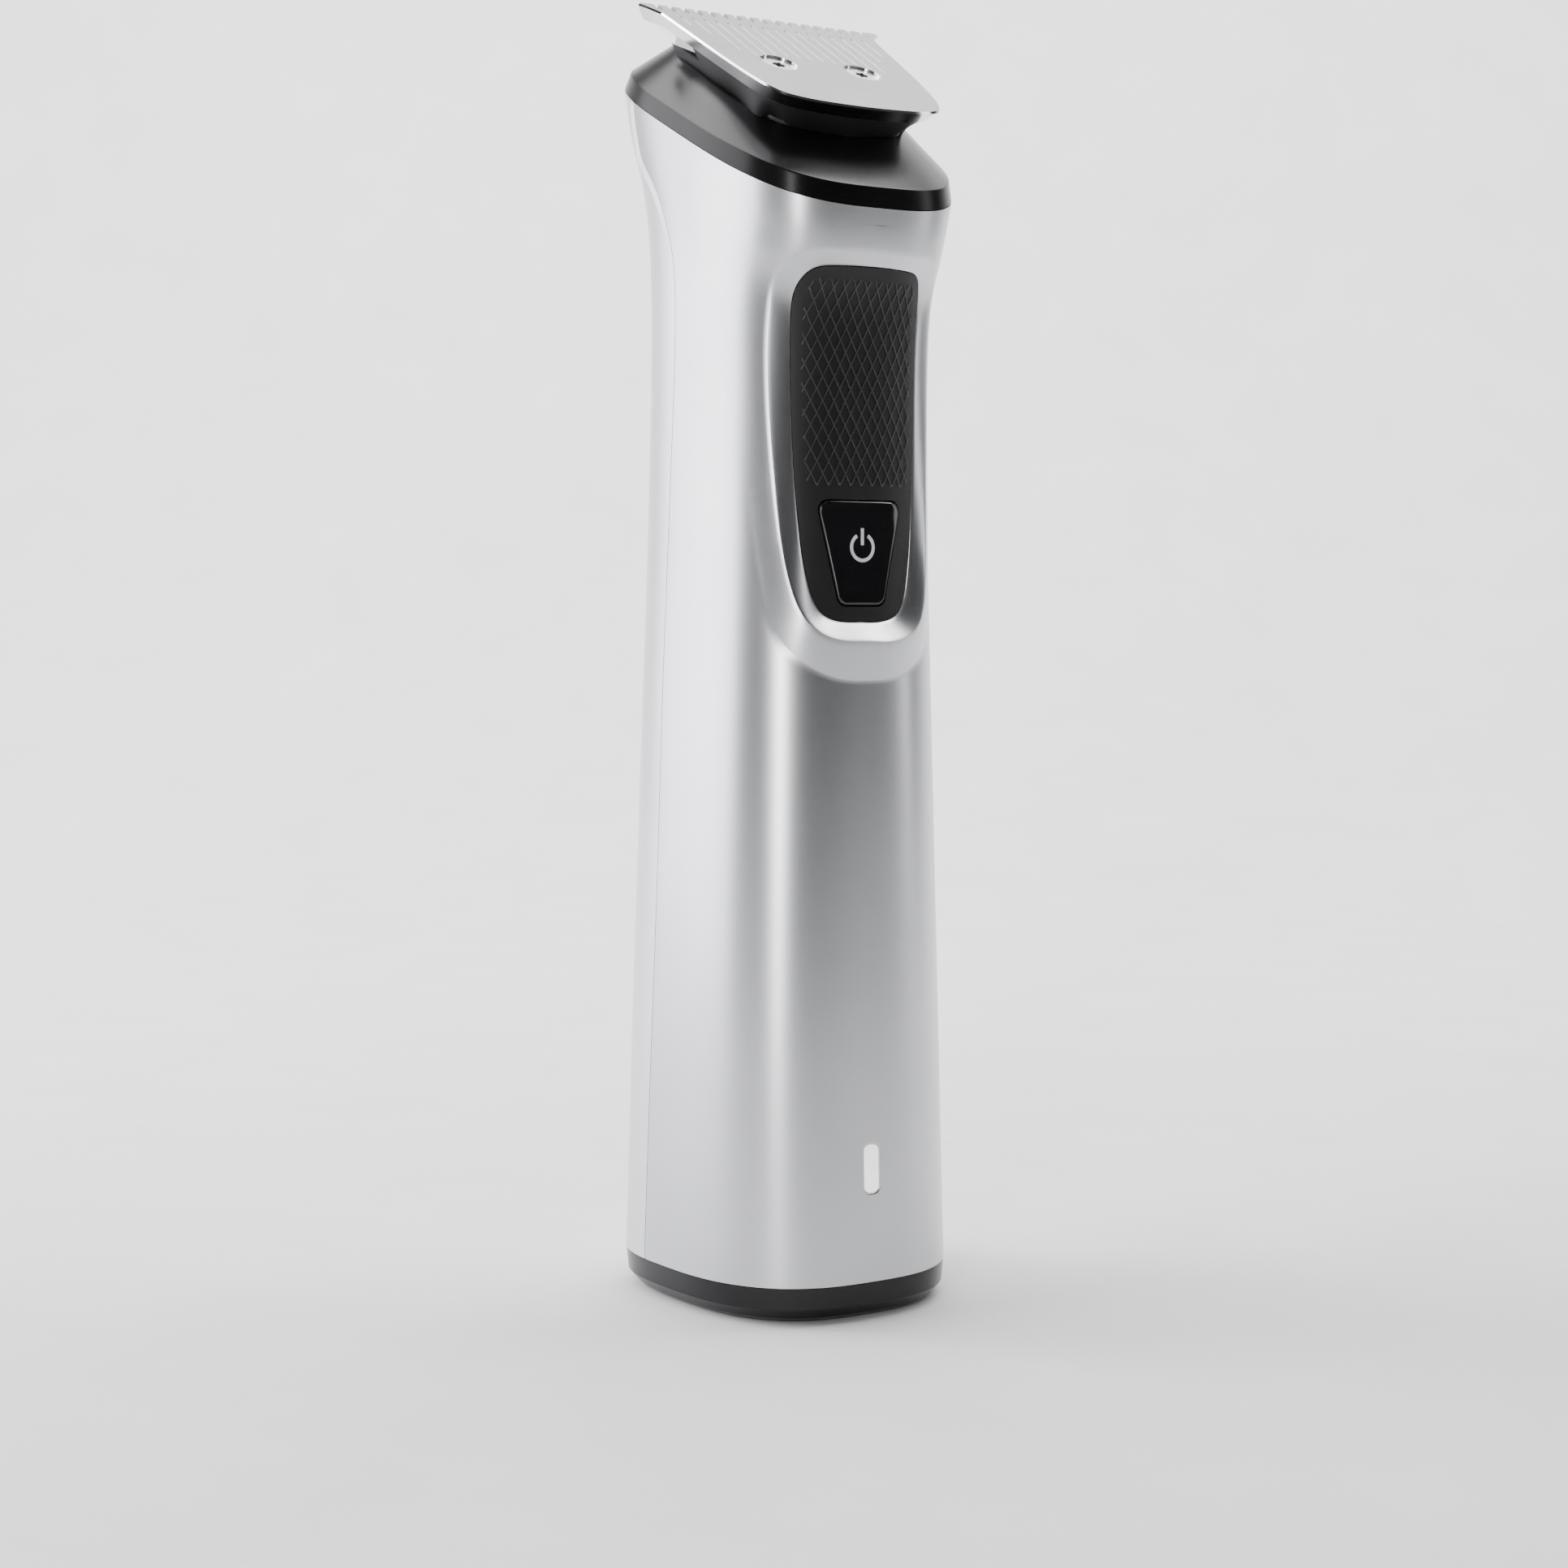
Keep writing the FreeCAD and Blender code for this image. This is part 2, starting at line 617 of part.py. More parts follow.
thick = dim("plate_thick")
plate_solid = Part.makeLoft([plate_wire(1.0, -thick), plate_wire(0.0, -0.25)], True, True)
plate_solid = plate_solid.fuse(Part.makeLoft([plate_wire(0.0, -0.25), plate_wire(0.12, 0.0)], True, True))
tools = []
pitch = dim("tooth_pitch")
teeth = 16
for n in range(teeth + 1):
    x = (n - teeth / 2) * pitch
    w = dim("tooth_slot") / 2
    tools.append(Part.makeBox(2 * w, 3.5, 4, vec(x - w, dim("tooth_root"), -3)))
for x in (-dim("screw_half"), dim("screw_half")):
    spot = vec(x, dim("screw_back"), 0)
    tools.append(Part.makeCone(dim("screw_shank") + 0.1, dim("screw_head") + 0.1, 1.2,
                               spot + vec(0, 0, -1.45)))
    tools.append(Part.makeCylinder(dim("screw_head") + 0.1, 1, spot + vec(0, 0, -0.25)))
    tools.append(Part.makeCylinder(dim("screw_shank") + 0.1, 4, spot + vec(0, 0, -3)))
LINE_LOW = (8.6, 6.4, 1.4, 0.2, 0.6, 1.4, 1.2, 1.0, 0.8, 0.8, 0.8, 1.0, 1.2, 0.4, -0.4, 3.6, 6.0)
for n, low in enumerate(LINE_LOW):
    x = (n - 8) * 1.62
    tools.append(Part.makeBox(dim("engrave_wide"), 11.6 - low, 1,
                              vec(x - dim("engrave_wide") / 2, low, -dim("engrave_deep"))))
plate_solid = plate_solid.cut(tools)
relief = Part.makeBox(29.4, 3.4, 2.0, vec(-14.7, 12.4, -thick - 1.15))
plate_solid = plate_solid.cut(relief)
finish(feature("guard_part", plate_solid), "guard_plate", HEAD)

# ---------------------------------------------------------------- moving cutter
body = new_body("cutter_body")
sketch = plane_sketch(body, "XY_Plane", -thick - dim("blade_gap") - dim("blade_thick"))
draw_polygon(sketch, [(-14.0, 14.7), (-14.0, 9.5), (-12.2, 7.4), (-7.6, 1.7), (7.6, 1.7), (12.2, 7.4),
                      (14.0, 9.5), (14.0, 14.7)])
pad(body, sketch, "Dims.blade_thick")
sketch = plane_sketch(body, "XY_Plane", -thick - dim("blade_gap") - dim("blade_thick") - 0.5)
draw_rectangle(sketch, -13.55, 13.2, -12.85, 15.4)
slot = pocket(body, sketch, 2.0, True)
pattern(body, slot, sketch, 26.4, 23)
finish(body, "moving_blade", HEAD)

carrier_top = -thick - dim("blade_gap") - dim("blade_thick") - 0.01
body = new_body("carrier_body")
sketch = plane_sketch(body, "XY_Plane", carrier_top - 3.4)
draw_rectangle(sketch, -6.2, 1.3, 6.2, 9.6)
pad(body, sketch, 3.4)
sketch = plane_sketch(body, "XY_Plane", carrier_top - 3.6)
draw_rectangle(sketch, -2.7, 2.45, 2.7, 8.4)
pocket(body, sketch, 4.0, True)
finish(body, "blade_carrier", HEAD)

# ---------------------------------------------------------------- tension spring
SPRING_Z = carrier_top - 3.4 - 0.36
body = new_body("spring_body")
path = body.newObject("Sketcher::SketchObject", "spring_path")
plane = [f for f in body.Origin.OriginFeatures if f.Role == "XY_Plane"][0]
path.AttachmentSupport = [(plane, "")]
path.MapMode = "FlatFace"
path.AttachmentOffset = FreeCAD.Placement(vec(0, 0, SPRING_Z), FreeCAD.Rotation())
spots = [(-5.2, 8.6), (-7.6, 8.6), (-7.6, 10.6), (7.6, 10.6), (7.6, 8.6), (5.2, 8.6)]
for a, b in zip(spots, spots[1:]):
    path.addGeometry(Part.LineSegment(vec(*a, 0), vec(*b, 0)), False)
round_wire = plane_sketch(body, "YZ_Plane", -5.2)
draw_circle(round_wire, 8.6, SPRING_Z, 0.3)
pipe = body.newObject("PartDesign::AdditivePipe", "spring_pipe")
pipe.Profile = round_wire
pipe.Spine = path
pipe.Transition = "Round corner"
doc.recompute()
body.Tip = pipe
finish(body, "tension_spring", HEAD)

# ---------------------------------------------------------------- head frame
low = -dim("frame_low")


def frame_wire(inset, z, back):
    right = [(max(x - inset, 0) if x > 2 else x, y + inset * (1 if y < -10 else 0), z)
             for y, x in PLATE_HALF]
    side = right[1:]
    left = [(-x, y, z) for x, y, z in reversed(side)]
    curve = Part.BSplineCurve()
    curve.interpolate([vec(*p) for p in left + [right[0]] + side])
    end = side[-1]
    tail = [vec(end[0], end[1], z), vec(end[0] + 0.35, back, z), vec(-end[0] - 0.35, back, z),
            vec(-end[0], end[1], z)]
    return Part.Wire([curve.toShape()] + Part.makePolygon(tail).Edges)


frame_top = -thick - 0.03
frame_solid = Part.makeLoft([frame_wire(3.2, low, 12.0), frame_wire(1.25, frame_top, 12.6)], True, True)
neck = Part.Face(rounded_wire([(-9.35, -9.95, low - dim("neck_depth")), (9.35, -9.95, low - dim("neck_depth")),
                               (9.35, 11.65, low - dim("neck_depth")), (-9.35, 11.65, low - dim("neck_depth"))],
                              3.1)).extrude(vec(0, 0, dim("neck_depth") + 0.6))
frame_solid = frame_solid.fuse(neck)
well = Part.Face(rounded_wire([(-8.2, 0.95, low - dim("neck_depth") + 1.2), (8.2, 0.95, low - dim("neck_depth") + 1.2),
                               (8.2, 11.0, low - dim("neck_depth") + 1.2), (-8.2, 11.0, low - dim("neck_depth") + 1.2)],
                              1.0)).extrude(vec(0, 0, 12))
shelf = Part.makeBox(30.6, 20, 3, vec(-15.3, 8.4, carrier_top - 0.35))
shelf = shelf.fuse(Part.Face(Part.makePolygon([vec(-8.6, 1.2, 0), vec(8.6, 1.2, 0), vec(15.3, 8.45, 0),
                                               vec(-15.3, 8.45, 0), vec(-8.6, 1.2, 0)])
                             ).extrude(vec(0, 0, 3)).translated(vec(0, 0, carrier_top - 0.35)))
slot_box = Part.makeBox(4.6, 8.1, 4, vec(-2.3, 0.3, low - dim("neck_depth") - 1))
front_core = Part.makeBox(13.0, 4.6, 5.8, vec(-6.5, -8.6, low - dim("neck_depth") - 0.2))
latch = Part.makeBox(5.4, 1.5, 1.5, vec(-2.7, -14.4, -thick - 2.0))
holes = []
for x in (-dim("screw_half"), dim("screw_half")):
    holes.append(Part.makeCylinder(dim("screw_shank") + 0.02, 4.4, vec(x, dim("screw_back"), -thick - 4.2)))
frame_solid = frame_solid.cut([well, shelf, slot_box, latch, front_core] + holes)
well_floor = low - dim("neck_depth") + 1.2
for x in (-6.9, 5.1):
    post = Part.makeBox(1.8, 0.9, SPRING_Z - 0.32 - well_floor + 0.3, vec(x, 10.15, well_floor - 0.3))
    frame_solid = frame_solid.fuse(post)
finish(feature("frame_part", frame_solid), "head_frame", HEAD)

body = new_body("plate_screw_body")
profile = plane_sketch(body, "XZ_Plane")
head_r, shank_r = dim("screw_head"), dim("screw_shank")
draw_polygon(profile, [(0, -0.28), (head_r - 0.03, -0.28), (shank_r, -1.48), (shank_r, -5.4), (0, -5.8)])
turned = body.newObject("PartDesign::Revolution", "screw_turn")
turned.Profile = profile
turned.ReferenceAxis = (profile, ["V_Axis"])
turned.Angle = 360
doc.recompute()
body.Tip = turned
star = plane_sketch(body, "XY_Plane", 0.0)
points = []
for n in range(12):
    r = 1.0 if n % 2 == 0 else 0.66
    points.append((r * math.cos(n * math.pi / 6), r * math.sin(n * math.pi / 6)))
draw_polygon(star, points)
pocket(body, star, 1.2)
screws = []
for x in (-dim("screw_half"), dim("screw_half")):
    copy = body.Shape.copy()
    copy.Placement = FreeCAD.Placement(vec(x, dim("screw_back"), 0), FreeCAD.Rotation()).multiply(copy.Placement)
    screws.append(copy)
finish(feature("plate_screws", Part.makeCompound(screws)), "blade_screws", HEAD)

# ---------------------------------------------------------------- motor
motor_y = dim("motor_y")
shell_tube = rod("can_outer", "Dims.motor_radius", "Dims.motor_top - Dims.motor_base", 0, motor_y, dim("motor_base"))
can_bore = rod("can_bore", "Dims.motor_radius - 0.8", "Dims.motor_top - Dims.motor_base - 0.8", 0, motor_y,
               dim("motor_base"))
can_hole = rod("can_hole", 2.5, 4.0, 0, motor_y, dim("motor_top") - 3)
screw_bores = [rod("can_tap_%s" % tag, 0.82, 4.0, x, motor_y, dim("motor_top") - 3)
               for tag, x in (("a", -6.0), ("b", 6.0))]
finish(cut("can_part", shell_tube, can_bore, can_hole, *screw_bores), "motor_can")

end_plug = rod("end_plug", "Dims.motor_radius - 0.82", 2.5, 0, motor_y, dim("motor_base") - 0.05)
end_lip = rod("end_lip", "Dims.motor_radius - 0.3", 0.87, 0, motor_y, dim("motor_base") - 0.9)
end_hole = rod("end_hole", 2.5, 6.0, 0, motor_y, dim("motor_base") - 2)
end_slots = [box("end_slot_%s" % tag, 1.2, 2.6, 6.0, x, motor_y - 6.4, dim("motor_base") - 2)
             for tag, x in (("a", -3.6), ("b", 3.6))]
finish(cut("end_part", join("end_solid", end_plug, end_lip), end_hole, *end_slots), "motor_end_cap")

tabs = [box("terminal_%s" % tag, 0.5, 2.2, 6.4, x, motor_y - 6.4, dim("motor_base") - 3.9)
        for tag, x in (("a", -3.6), ("b", 3.6))]
finish(join("terminal_part", *tabs), "motor_terminals")

magnet_out = rod("magnet_outer", "Dims.motor_radius - 0.85", 17.0, 0, motor_y, 107.5)
magnet_in = rod("magnet_bore", 7.2, 19.0, 0, motor_y, 106.5)
magnet_gap = box("magnet_gap", 7.0, 24.0, 19.0, 0, motor_y, 106.5)
finish(cut("magnet_part", magnet_out, magnet_in, magnet_gap), "motor_magnets")

bushes = [cut("bush_%s" % tag, rod("bush_body_%s" % tag, 2.45, 2.4, 0, motor_y, z),
              rod("bush_bore_%s" % tag, "Dims.shaft_radius + 0.03", 4.0, 0, motor_y, z - 0.5))
          for tag, z in (("low", dim("motor_base") - 0.6), ("high", dim("motor_top") - 1.4))]
finish(join("bush_part", *bushes), "motor_bushes")

finish(rod("shaft_part", "Dims.shaft_radius", 34.0, 0, motor_y, 100.6), "motor_shaft")

core = rod("core_hub", 3.2, 13.0, 0, motor_y, 109.5)
arms = []
for n in range(3):
    arm = box("core_arm_%d" % n, 2.0, 5.6, 13.0, 0, 0, 0)
    arm.Placement = FreeCAD.Placement(vec(0, motor_y, 109.5), FreeCAD.Rotation(vec(0, 0, 1), 120 * n)).multiply(
        FreeCAD.Placement(vec(-1.0, 1.0, 0), FreeCAD.Rotation()))
    arms.append(arm)
rim = cut("core_rim", rod("rim_outer", 6.9, 13.0, 0, motor_y, 109.5), rod("rim_inner", 5.7, 15.0, 0, motor_y, 108.5))
splits = []
for n in range(3):
    split = box("core_split_%d" % n, 1.6, 8.0, 15.0, 0, 0, 0)
    split.Placement = FreeCAD.Placement(vec(0, motor_y, 108.5), FreeCAD.Rotation(vec(0, 0, 1), 60 + 120 * n)).multiply(
        FreeCAD.Placement(vec(-0.8, 1.5, 0), FreeCAD.Rotation()))
    splits.append(split)
rim = cut("core_shoes", rim, *splits)
core_bore = rod("core_bore", "Dims.shaft_radius", 15.0, 0, motor_y, 108.5)
finish(cut("core_part", join("core_solid", core, rim, *arms), core_bore), "armature_core")

coils = []
for n in range(3):
    turn = FreeCAD.Placement(vec(0, motor_y, 0), FreeCAD.Rotation(vec(0, 0, 1), 120 * n))
    ring_out = box("coil_outer_%d" % n, 4.6, 1.65, 16.0, 0, 0, 0)
    ring_in = box("coil_inner_%d" % n, 2.1, 3.0, 13.1, 0, 0, 0)
    ring_out.Placement = turn.multiply(FreeCAD.Placement(vec(-2.3, 3.4, 108.0), FreeCAD.Rotation()))
    ring_in.Placement = turn.multiply(FreeCAD.Placement(vec(-1.05, 2.9, 109.45), FreeCAD.Rotation()))
    coils.append(cut("coil_%d" % n, ring_out, ring_in))
finish(join("coil_part", *coils), "armature_coils")

ring_out = rod("commutator_body", 2.3, 2.8, 0, motor_y, 104.4)
ring_in = rod("commutator_bore", "Dims.shaft_radius", 4.0, 0, motor_y, 104.0)
lines = []
for n in range(3):
    line = box("commutator_line_%d" % n, 0.25, 1.0, 4.0, 0, 0, 0)
    line.Placement = FreeCAD.Placement(vec(0, motor_y, 104.0), FreeCAD.Rotation(vec(0, 0, 1), 120 * n)).multiply(
        FreeCAD.Placement(vec(-0.12, 1.9, 0), FreeCAD.Rotation()))
    lines.append(line)
finish(cut("commutator_part", ring_out, ring_in, *lines), "commutator")

hub = rod("hub_body", "Dims.hub_radius", 4.6, 0, motor_y, 131.6)
hub_bore = rod("hub_bore", "Dims.shaft_radius", 3.1, 0, motor_y, 131.5)
pin_bore = rod("hub_pin_bore", "Dims.pin_radius", 4.0, 0, motor_y + dim("pin_throw"), 134.7)
flat = box("hub_flat", 7.0, 2.0, 2.0, 0, motor_y - 3.2, 134.6)
finish(cut("hub_part", hub, hub_bore, pin_bore, flat), "drive_hub")
pin_low = rod("pin_body", "Dims.pin_radius", 14.6, 0, motor_y + dim("pin_throw"), 134.75)
pin_tip = cone("pin_tip", "Dims.pin_radius", "Dims.pin_radius - 0.25", 0.3, 0, motor_y + dim("pin_throw"), 149.35)
finish(join("pin_part", pin_low, pin_tip), "drive_pin")

mount_disc = rod("mount_disc", 11.4, 1.8, 0, motor_y, dim("motor_top") + 0.03)
mount_hole = rod("mount_hole", 4.2, 4.0, 0, motor_y, dim("motor_top") - 1)
mount_taps = [rod("mount_tap_%s" % tag, 0.95, 6.0, x, motor_y, dim("motor_top") - 1)
              for tag, x in (("a", -6.0), ("b", 6.0))]
mount_trim = box("mount_trim", 30.0, 6.0, 6.0, 0, motor_y + 13.6, dim("motor_top") - 1)
finish(cut("mount_part", mount_disc, mount_hole, mount_trim, *mount_taps), "motor_mount")
screws = []
for tag, x in (("a", -6.0), ("b", 6.0)):
    screws.append(rod("motor_screw_%s" % tag, 0.8, 4.2, x, motor_y, dim("motor_top") - 2.4))
    screws.append(rod("motor_screw_head_%s" % tag, 1.6, 0.9, x, motor_y, dim("motor_top") + 1.84))
finish(join("motor_screw_part", *screws), "motor_screws")

# ---------------------------------------------------------------- battery and chassis
cell_y, cell_base, cell_top = dim("cell_y"), dim("cell_base"), dim("cell_base") + dim("cell_length")
body = new_body("cell_body")
profile = plane_sketch(body, "XZ_Plane")
r, length = dim("cell_radius"), dim("cell_length")
draw_polygon(profile, [(0, 0), (r - 0.5, 0), (r, 0.5), (r, length - 3.2), (r - 0.5, length - 2.8),
                       (r - 0.5, length - 2.2), (r, length - 1.8), (r, length - 1.0), (r - 0.6, length - 0.7),
                       (3.0, length - 0.7), (3.0, length), (0, length)])
turned = body.newObject("PartDesign::Revolution", "cell_turn")
turned.Profile = profile
turned.ReferenceAxis = (profile, ["V_Axis"])
turned.Angle = 360
doc.recompute()
body.Tip = turned
finish(body, "battery_cell", FreeCAD.Placement(vec(0, cell_y, cell_base), FreeCAD.Rotation()))

tabs = [box("tab_top", 4.0, 13.4, 0.2, 0, cell_y - 5.0, cell_top + 0.05),
        box("tab_top_drop", 4.0, 0.2, 3.0, 0, cell_y - 11.6, cell_top - 2.75),
        box("tab_base", 4.0, 13.4, 0.2, 0, cell_y - 5.0, cell_base - 0.25),
        box("tab_base_rise", 4.0, 0.2, 3.0, 0, cell_y - 11.6, cell_base - 0.25)]
finish(join("tab_part", *tabs), "battery_tabs")

spine = box("chassis_spine", 13.0, 0.9, 117.8, 0, 12.55, 10.9)
ribs = []
for tag, z, wide in (("foot", 10.9, 23.0), ("low", 24.0, 23.0), ("middle", 46.0, 23.0), ("high", 68.0, 22.0)):
    ribs.append(box("chassis_rib_" + tag, wide, 23.2, 1.4, 0, 1.35, z))
shelf_plate = box("chassis_shelf", 20.0, 23.2, 1.4, 0, 1.35, 92.0)
rails = [box("chassis_rail_%s" % tag, 1.2, 5.0, 81.0, x, -7.7, 10.9) for tag, x in (("a", -9.9), ("b", 9.9))]
cell_bore = rod("chassis_cell_bore", "Dims.cell_radius + 0.12", 70.0, 0, cell_y, 13.2)
foot_hole = box("chassis_foot_hole", 8.0, 15.0, 5.0, 0, 3.0, 9.0)
tab_slot = box("chassis_tab_slot", 5.0, 6.0, 90.0, 0, cell_y - 10.6, 9.0)
lead_notch = box("chassis_lead_notch", 11.6, 7.0, 4.0, 0, -8.2, 91.0)
chassis_solid = join("chassis_solid", spine, shelf_plate, *ribs, *rails)
finish(cut("chassis_part", chassis_solid, cell_bore, foot_hole, tab_slot, lead_notch), "chassis")

# ---------------------------------------------------------------- circuit board
front, board_thick = dim("board_front"), dim("board_thick")
body = new_body("board_body")
sketch = plane_sketch(body, "XZ_Plane", -(front + board_thick))
draw_polygon(sketch, [(-8.6, 10.2), (8.6, 10.2), (10.0, 11.6), (10.0, 60.0), (9.9, 72.5), (7.2, 80.0),
                      (6.8, 97.0), (-6.8, 97.0), (-7.2, 80.0), (-9.9, 72.5), (-10.0, 60.0), (-10.0, 11.6)])
pad(body, sketch, "Dims.board_thick")
sketch = plane_sketch(body, "XZ_Plane", -front)
for z in (26.0, 70.0):
    for x in (-8.6 if z < 60 else -8.3, 8.6 if z < 60 else 8.3):
        draw_circle(sketch, x, z, 0.9)
pocket(body, sketch, 3.0)
finish(body, "circuit_board")
screws = []
for tag, z, x in (("a", 26.0, -8.6), ("b", 26.0, 8.6), ("c", 70.0, -8.3), ("d", 70.0, 8.3)):
    screws.append(rod("board_screw_" + tag, 0.8, 1.2, x, front + board_thick, z, (1, 0, 0), 90))
    screws.append(rod("board_screw_head_" + tag, 1.4, 0.7, x, front - 0.02, z, (1, 0, 0), 90))
finish(join("board_screw_part", *screws), "chassis_screws")
chips = [box("chip_%d" % n, w, d, t, x, front - d / 2 - 0.01, z) for n, (w, d, t, x, z) in enumerate([
    (5.0, 0.9, 5.0, 0, 60.0), (3.0, 1.1, 1.6, -5.0, 52.0), (4.0, 1.6, 4.0, 4.6, 46.0), (1.6, 0.6, 0.8, -4.4, 64.0),
    (1.6, 0.6, 0.8, -4.4, 67.0), (1.6, 0.6, 0.8, 4.8, 66.0), (3.0, 1.0, 2.8, -4.0, 34.0), (1.6, 0.6, 0.8, 3.6, 36.0)])]
finish(join("chip_part", *chips), "board_components")

level = dim("button_level")
switch_box = box("switch_body", 4.5, 1.5, 4.5, 0, front - 0.76, level - 2.25)
switch_bore = rod("switch_bore", 1.05, 1.3, 0, front - 0.22, level, (1, 0, 0), 90)
finish(cut("switch_part", switch_box, switch_bore), "tact_switch")
finish(rod("plunger_part", 0.9, 1.14, 0, front - 0.99, level, (1, 0, 0), 90), "switch_plunger")
finish(box("led_chip", 1.6, 0.9, 1.2, 0, front - 0.46, dim("light_level") - 0.6), "status_led")
seal_sheet = Part.Face(button_outline(-0.06, -13.2)).extrude(vec(0, 0.4, 0))
seal_eye = Part.makeBox(4.8, 2.0, 4.8, vec(-2.4, -14.0, level - 2.4))
finish(feature("button_seal_part", seal_sheet.cut(seal_eye)), "button_seal")

# ---------------------------------------------------------------- springs and leads
contacts = [box("contact_%s" % tag, 0.8, 16.2, 0.25, x, -1.75, 10.5) for tag, x in (("a", -1.7), ("b", 1.7))]
finish(join("contact_part", *contacts), "charge_springs")


def lead(name, points, radius):
    """A soft lead: a tube swept along a smooth line."""
    curve = Part.BSplineCurve()
    curve.interpolate([vec(*p) for p in points])
    spine_wire = Part.Wire(curve.toShape())
    start = curve.value(curve.FirstParameter)
    along = curve.tangent(curve.FirstParameter)[0]
    ring = Part.Wire(Part.Circle(start, along, radius).toShape())
    return spine_wire.makePipeShell([ring], True, True)


leads = []
for side in (-1, 1):
    leads.append(lead("motor_lead", [
        (3.6 * side, motor_y - 6.4, 96.9),
        (3.6 * side, motor_y - 7.4, 94.4),
        (4.4 * side, -8.0, 90.6),
        (4.4 * side, -9.2, 88.0),
        (4.4 * side, -9.6, 85.0),
    ], 0.55))
finish(feature("motor_lead_part", Part.makeCompound(leads)), "motor_wires")
leads = []
for x in (-1.0, 1.0):
    leads.append(lead("cell_lead", [
        (x, cell_y - 5.0, cell_top + 0.75),
        (x, -6.0, cell_top + 3.0),
        (x, -9.0, cell_top + 4.4),
        (x, -10.35, cell_top + 4.6),
    ], 0.45))
finish(feature("cell_lead_part", Part.makeCompound(leads)), "battery_wires")

# ---------------------------------------------------------------- write the nodes
doc.recompute()
for item in doc.Objects:
    if "Invalid" in item.State or "Error" in item.State:
        raise RuntimeError("%s: %s" % (item.Name, item.State))
for label, item in nodes:
    shape = item.Shape
    if shape.isNull() or not shape.isValid():
        print("BAD", label)
        continue
    print("%-18s v=%8.1f solids=%d" % (label, shape.Volume, len(shape.Solids)))
    shape.exportStep("parts/%s.step" % label)
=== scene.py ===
import json
import math

import bpy
import numpy as np
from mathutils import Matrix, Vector


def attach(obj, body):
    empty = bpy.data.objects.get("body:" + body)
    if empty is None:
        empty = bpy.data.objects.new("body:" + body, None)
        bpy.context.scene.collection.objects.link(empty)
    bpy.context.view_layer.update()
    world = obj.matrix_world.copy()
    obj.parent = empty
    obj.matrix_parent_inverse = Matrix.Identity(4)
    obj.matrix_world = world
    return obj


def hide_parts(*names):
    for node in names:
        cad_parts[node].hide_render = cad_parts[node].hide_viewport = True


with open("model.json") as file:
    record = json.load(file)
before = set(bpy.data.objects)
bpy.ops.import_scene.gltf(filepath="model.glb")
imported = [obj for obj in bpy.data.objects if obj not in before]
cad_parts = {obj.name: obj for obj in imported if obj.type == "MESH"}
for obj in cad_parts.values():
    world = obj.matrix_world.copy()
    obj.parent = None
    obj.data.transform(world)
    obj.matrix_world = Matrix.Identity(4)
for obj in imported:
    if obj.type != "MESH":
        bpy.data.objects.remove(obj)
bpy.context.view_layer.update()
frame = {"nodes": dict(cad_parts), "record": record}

MM = 0.001

# ------------------------------------------------------------------ handle form, in millimetres
SECTIONS = np.array([
    (4.6, 0.0, -18.90, 18.90, 18.05),
    (20.0, 0.0, -18.35, 18.25, 17.70),
    (35.0, 0.0, -17.95, 17.75, 17.35),
    (50.0, 0.0, -17.60, 17.25, 16.90),
    (65.0, 0.0, -17.30, 16.80, 16.45),
    (80.0, 0.0, -17.00, 16.30, 15.95),
    (95.0, 0.0, -16.75, 15.80, 15.50),
    (104.0, 2.0, -16.65, 15.40, 15.35),
    (112.0, 5.0, -16.60, 15.00, 15.25),
    (119.0, 10.0, -16.75, 14.75, 15.25),
    (125.0, 16.0, -17.20, 14.75, 15.35),
    (129.5, 21.0, -17.95, 15.20, 15.60),
    (133.0, 24.5, -18.75, 16.40, 15.90),
    (135.8, 26.3, -19.35, 17.90, 16.15),
    (138.5, 27.0, -19.90, 18.60, 16.35),
    (141.7, 27.25, -20.45, 18.95, 16.55),
])
FRONT_POWER, BACK_POWER, NARROWING = 2.72, 2.86, 0.109
SEAM = np.array([(4.9, 4.6), (4.5, 20.0), (3.9, 38.0), (3.5, 60.0), (3.2, 85.0),
                 (2.4, 104.0), (1.7, 117.0), (1.6, 124.0), (2.2, 129.0), (3.2, 132.0),
                 (4.5, 134.8), (6.3, 137.3), (8.3, 139.6)])
SEAM_TOP = np.array([(8.3, 139.6), (9.2, 144.0), (9.9, 156.0)])


def spline(xs, ys):
    """Natural cubic spline through points, as a function of an array."""
    n = len(xs)
    step = np.diff(xs)
    matrix = np.eye(n)
    right = np.zeros(n)
    for i in range(1, n - 1):
        matrix[i, i - 1:i + 2] = step[i - 1], 2 * (step[i - 1] + step[i]), step[i]
        right[i] = 6 * ((ys[i + 1] - ys[i]) / step[i] - (ys[i] - ys[i - 1]) / step[i - 1])
    bend = np.linalg.solve(matrix, right)

    def value(x):
        x = np.asarray(x, float)
        i = np.clip(np.searchsorted(xs, x) - 1, 0, n - 2)
        a, b, d = xs[i + 1] - x, x - xs[i], step[i]
        return ((bend[i] * a ** 3 + bend[i + 1] * b ** 3) / (6 * d)
                + (ys[i] / d - bend[i] * d / 6) * a + (ys[i + 1] / d - bend[i + 1] * d / 6) * b)
    return value


LEVELS = SECTIONS[:, 0]
row_curves = [spline(LEVELS, SECTIONS[:, k]) for k in range(1, 5)]
row_mix = spline(LEVELS, (np.arange(len(LEVELS)) / (len(LEVELS) - 1.0)) ** 3)
seam_low = spline(SEAM[:, 1], SEAM[:, 0])
SEAM_FROM, SEAM_TO = SEAM[0, 1], SEAM[-1, 1]


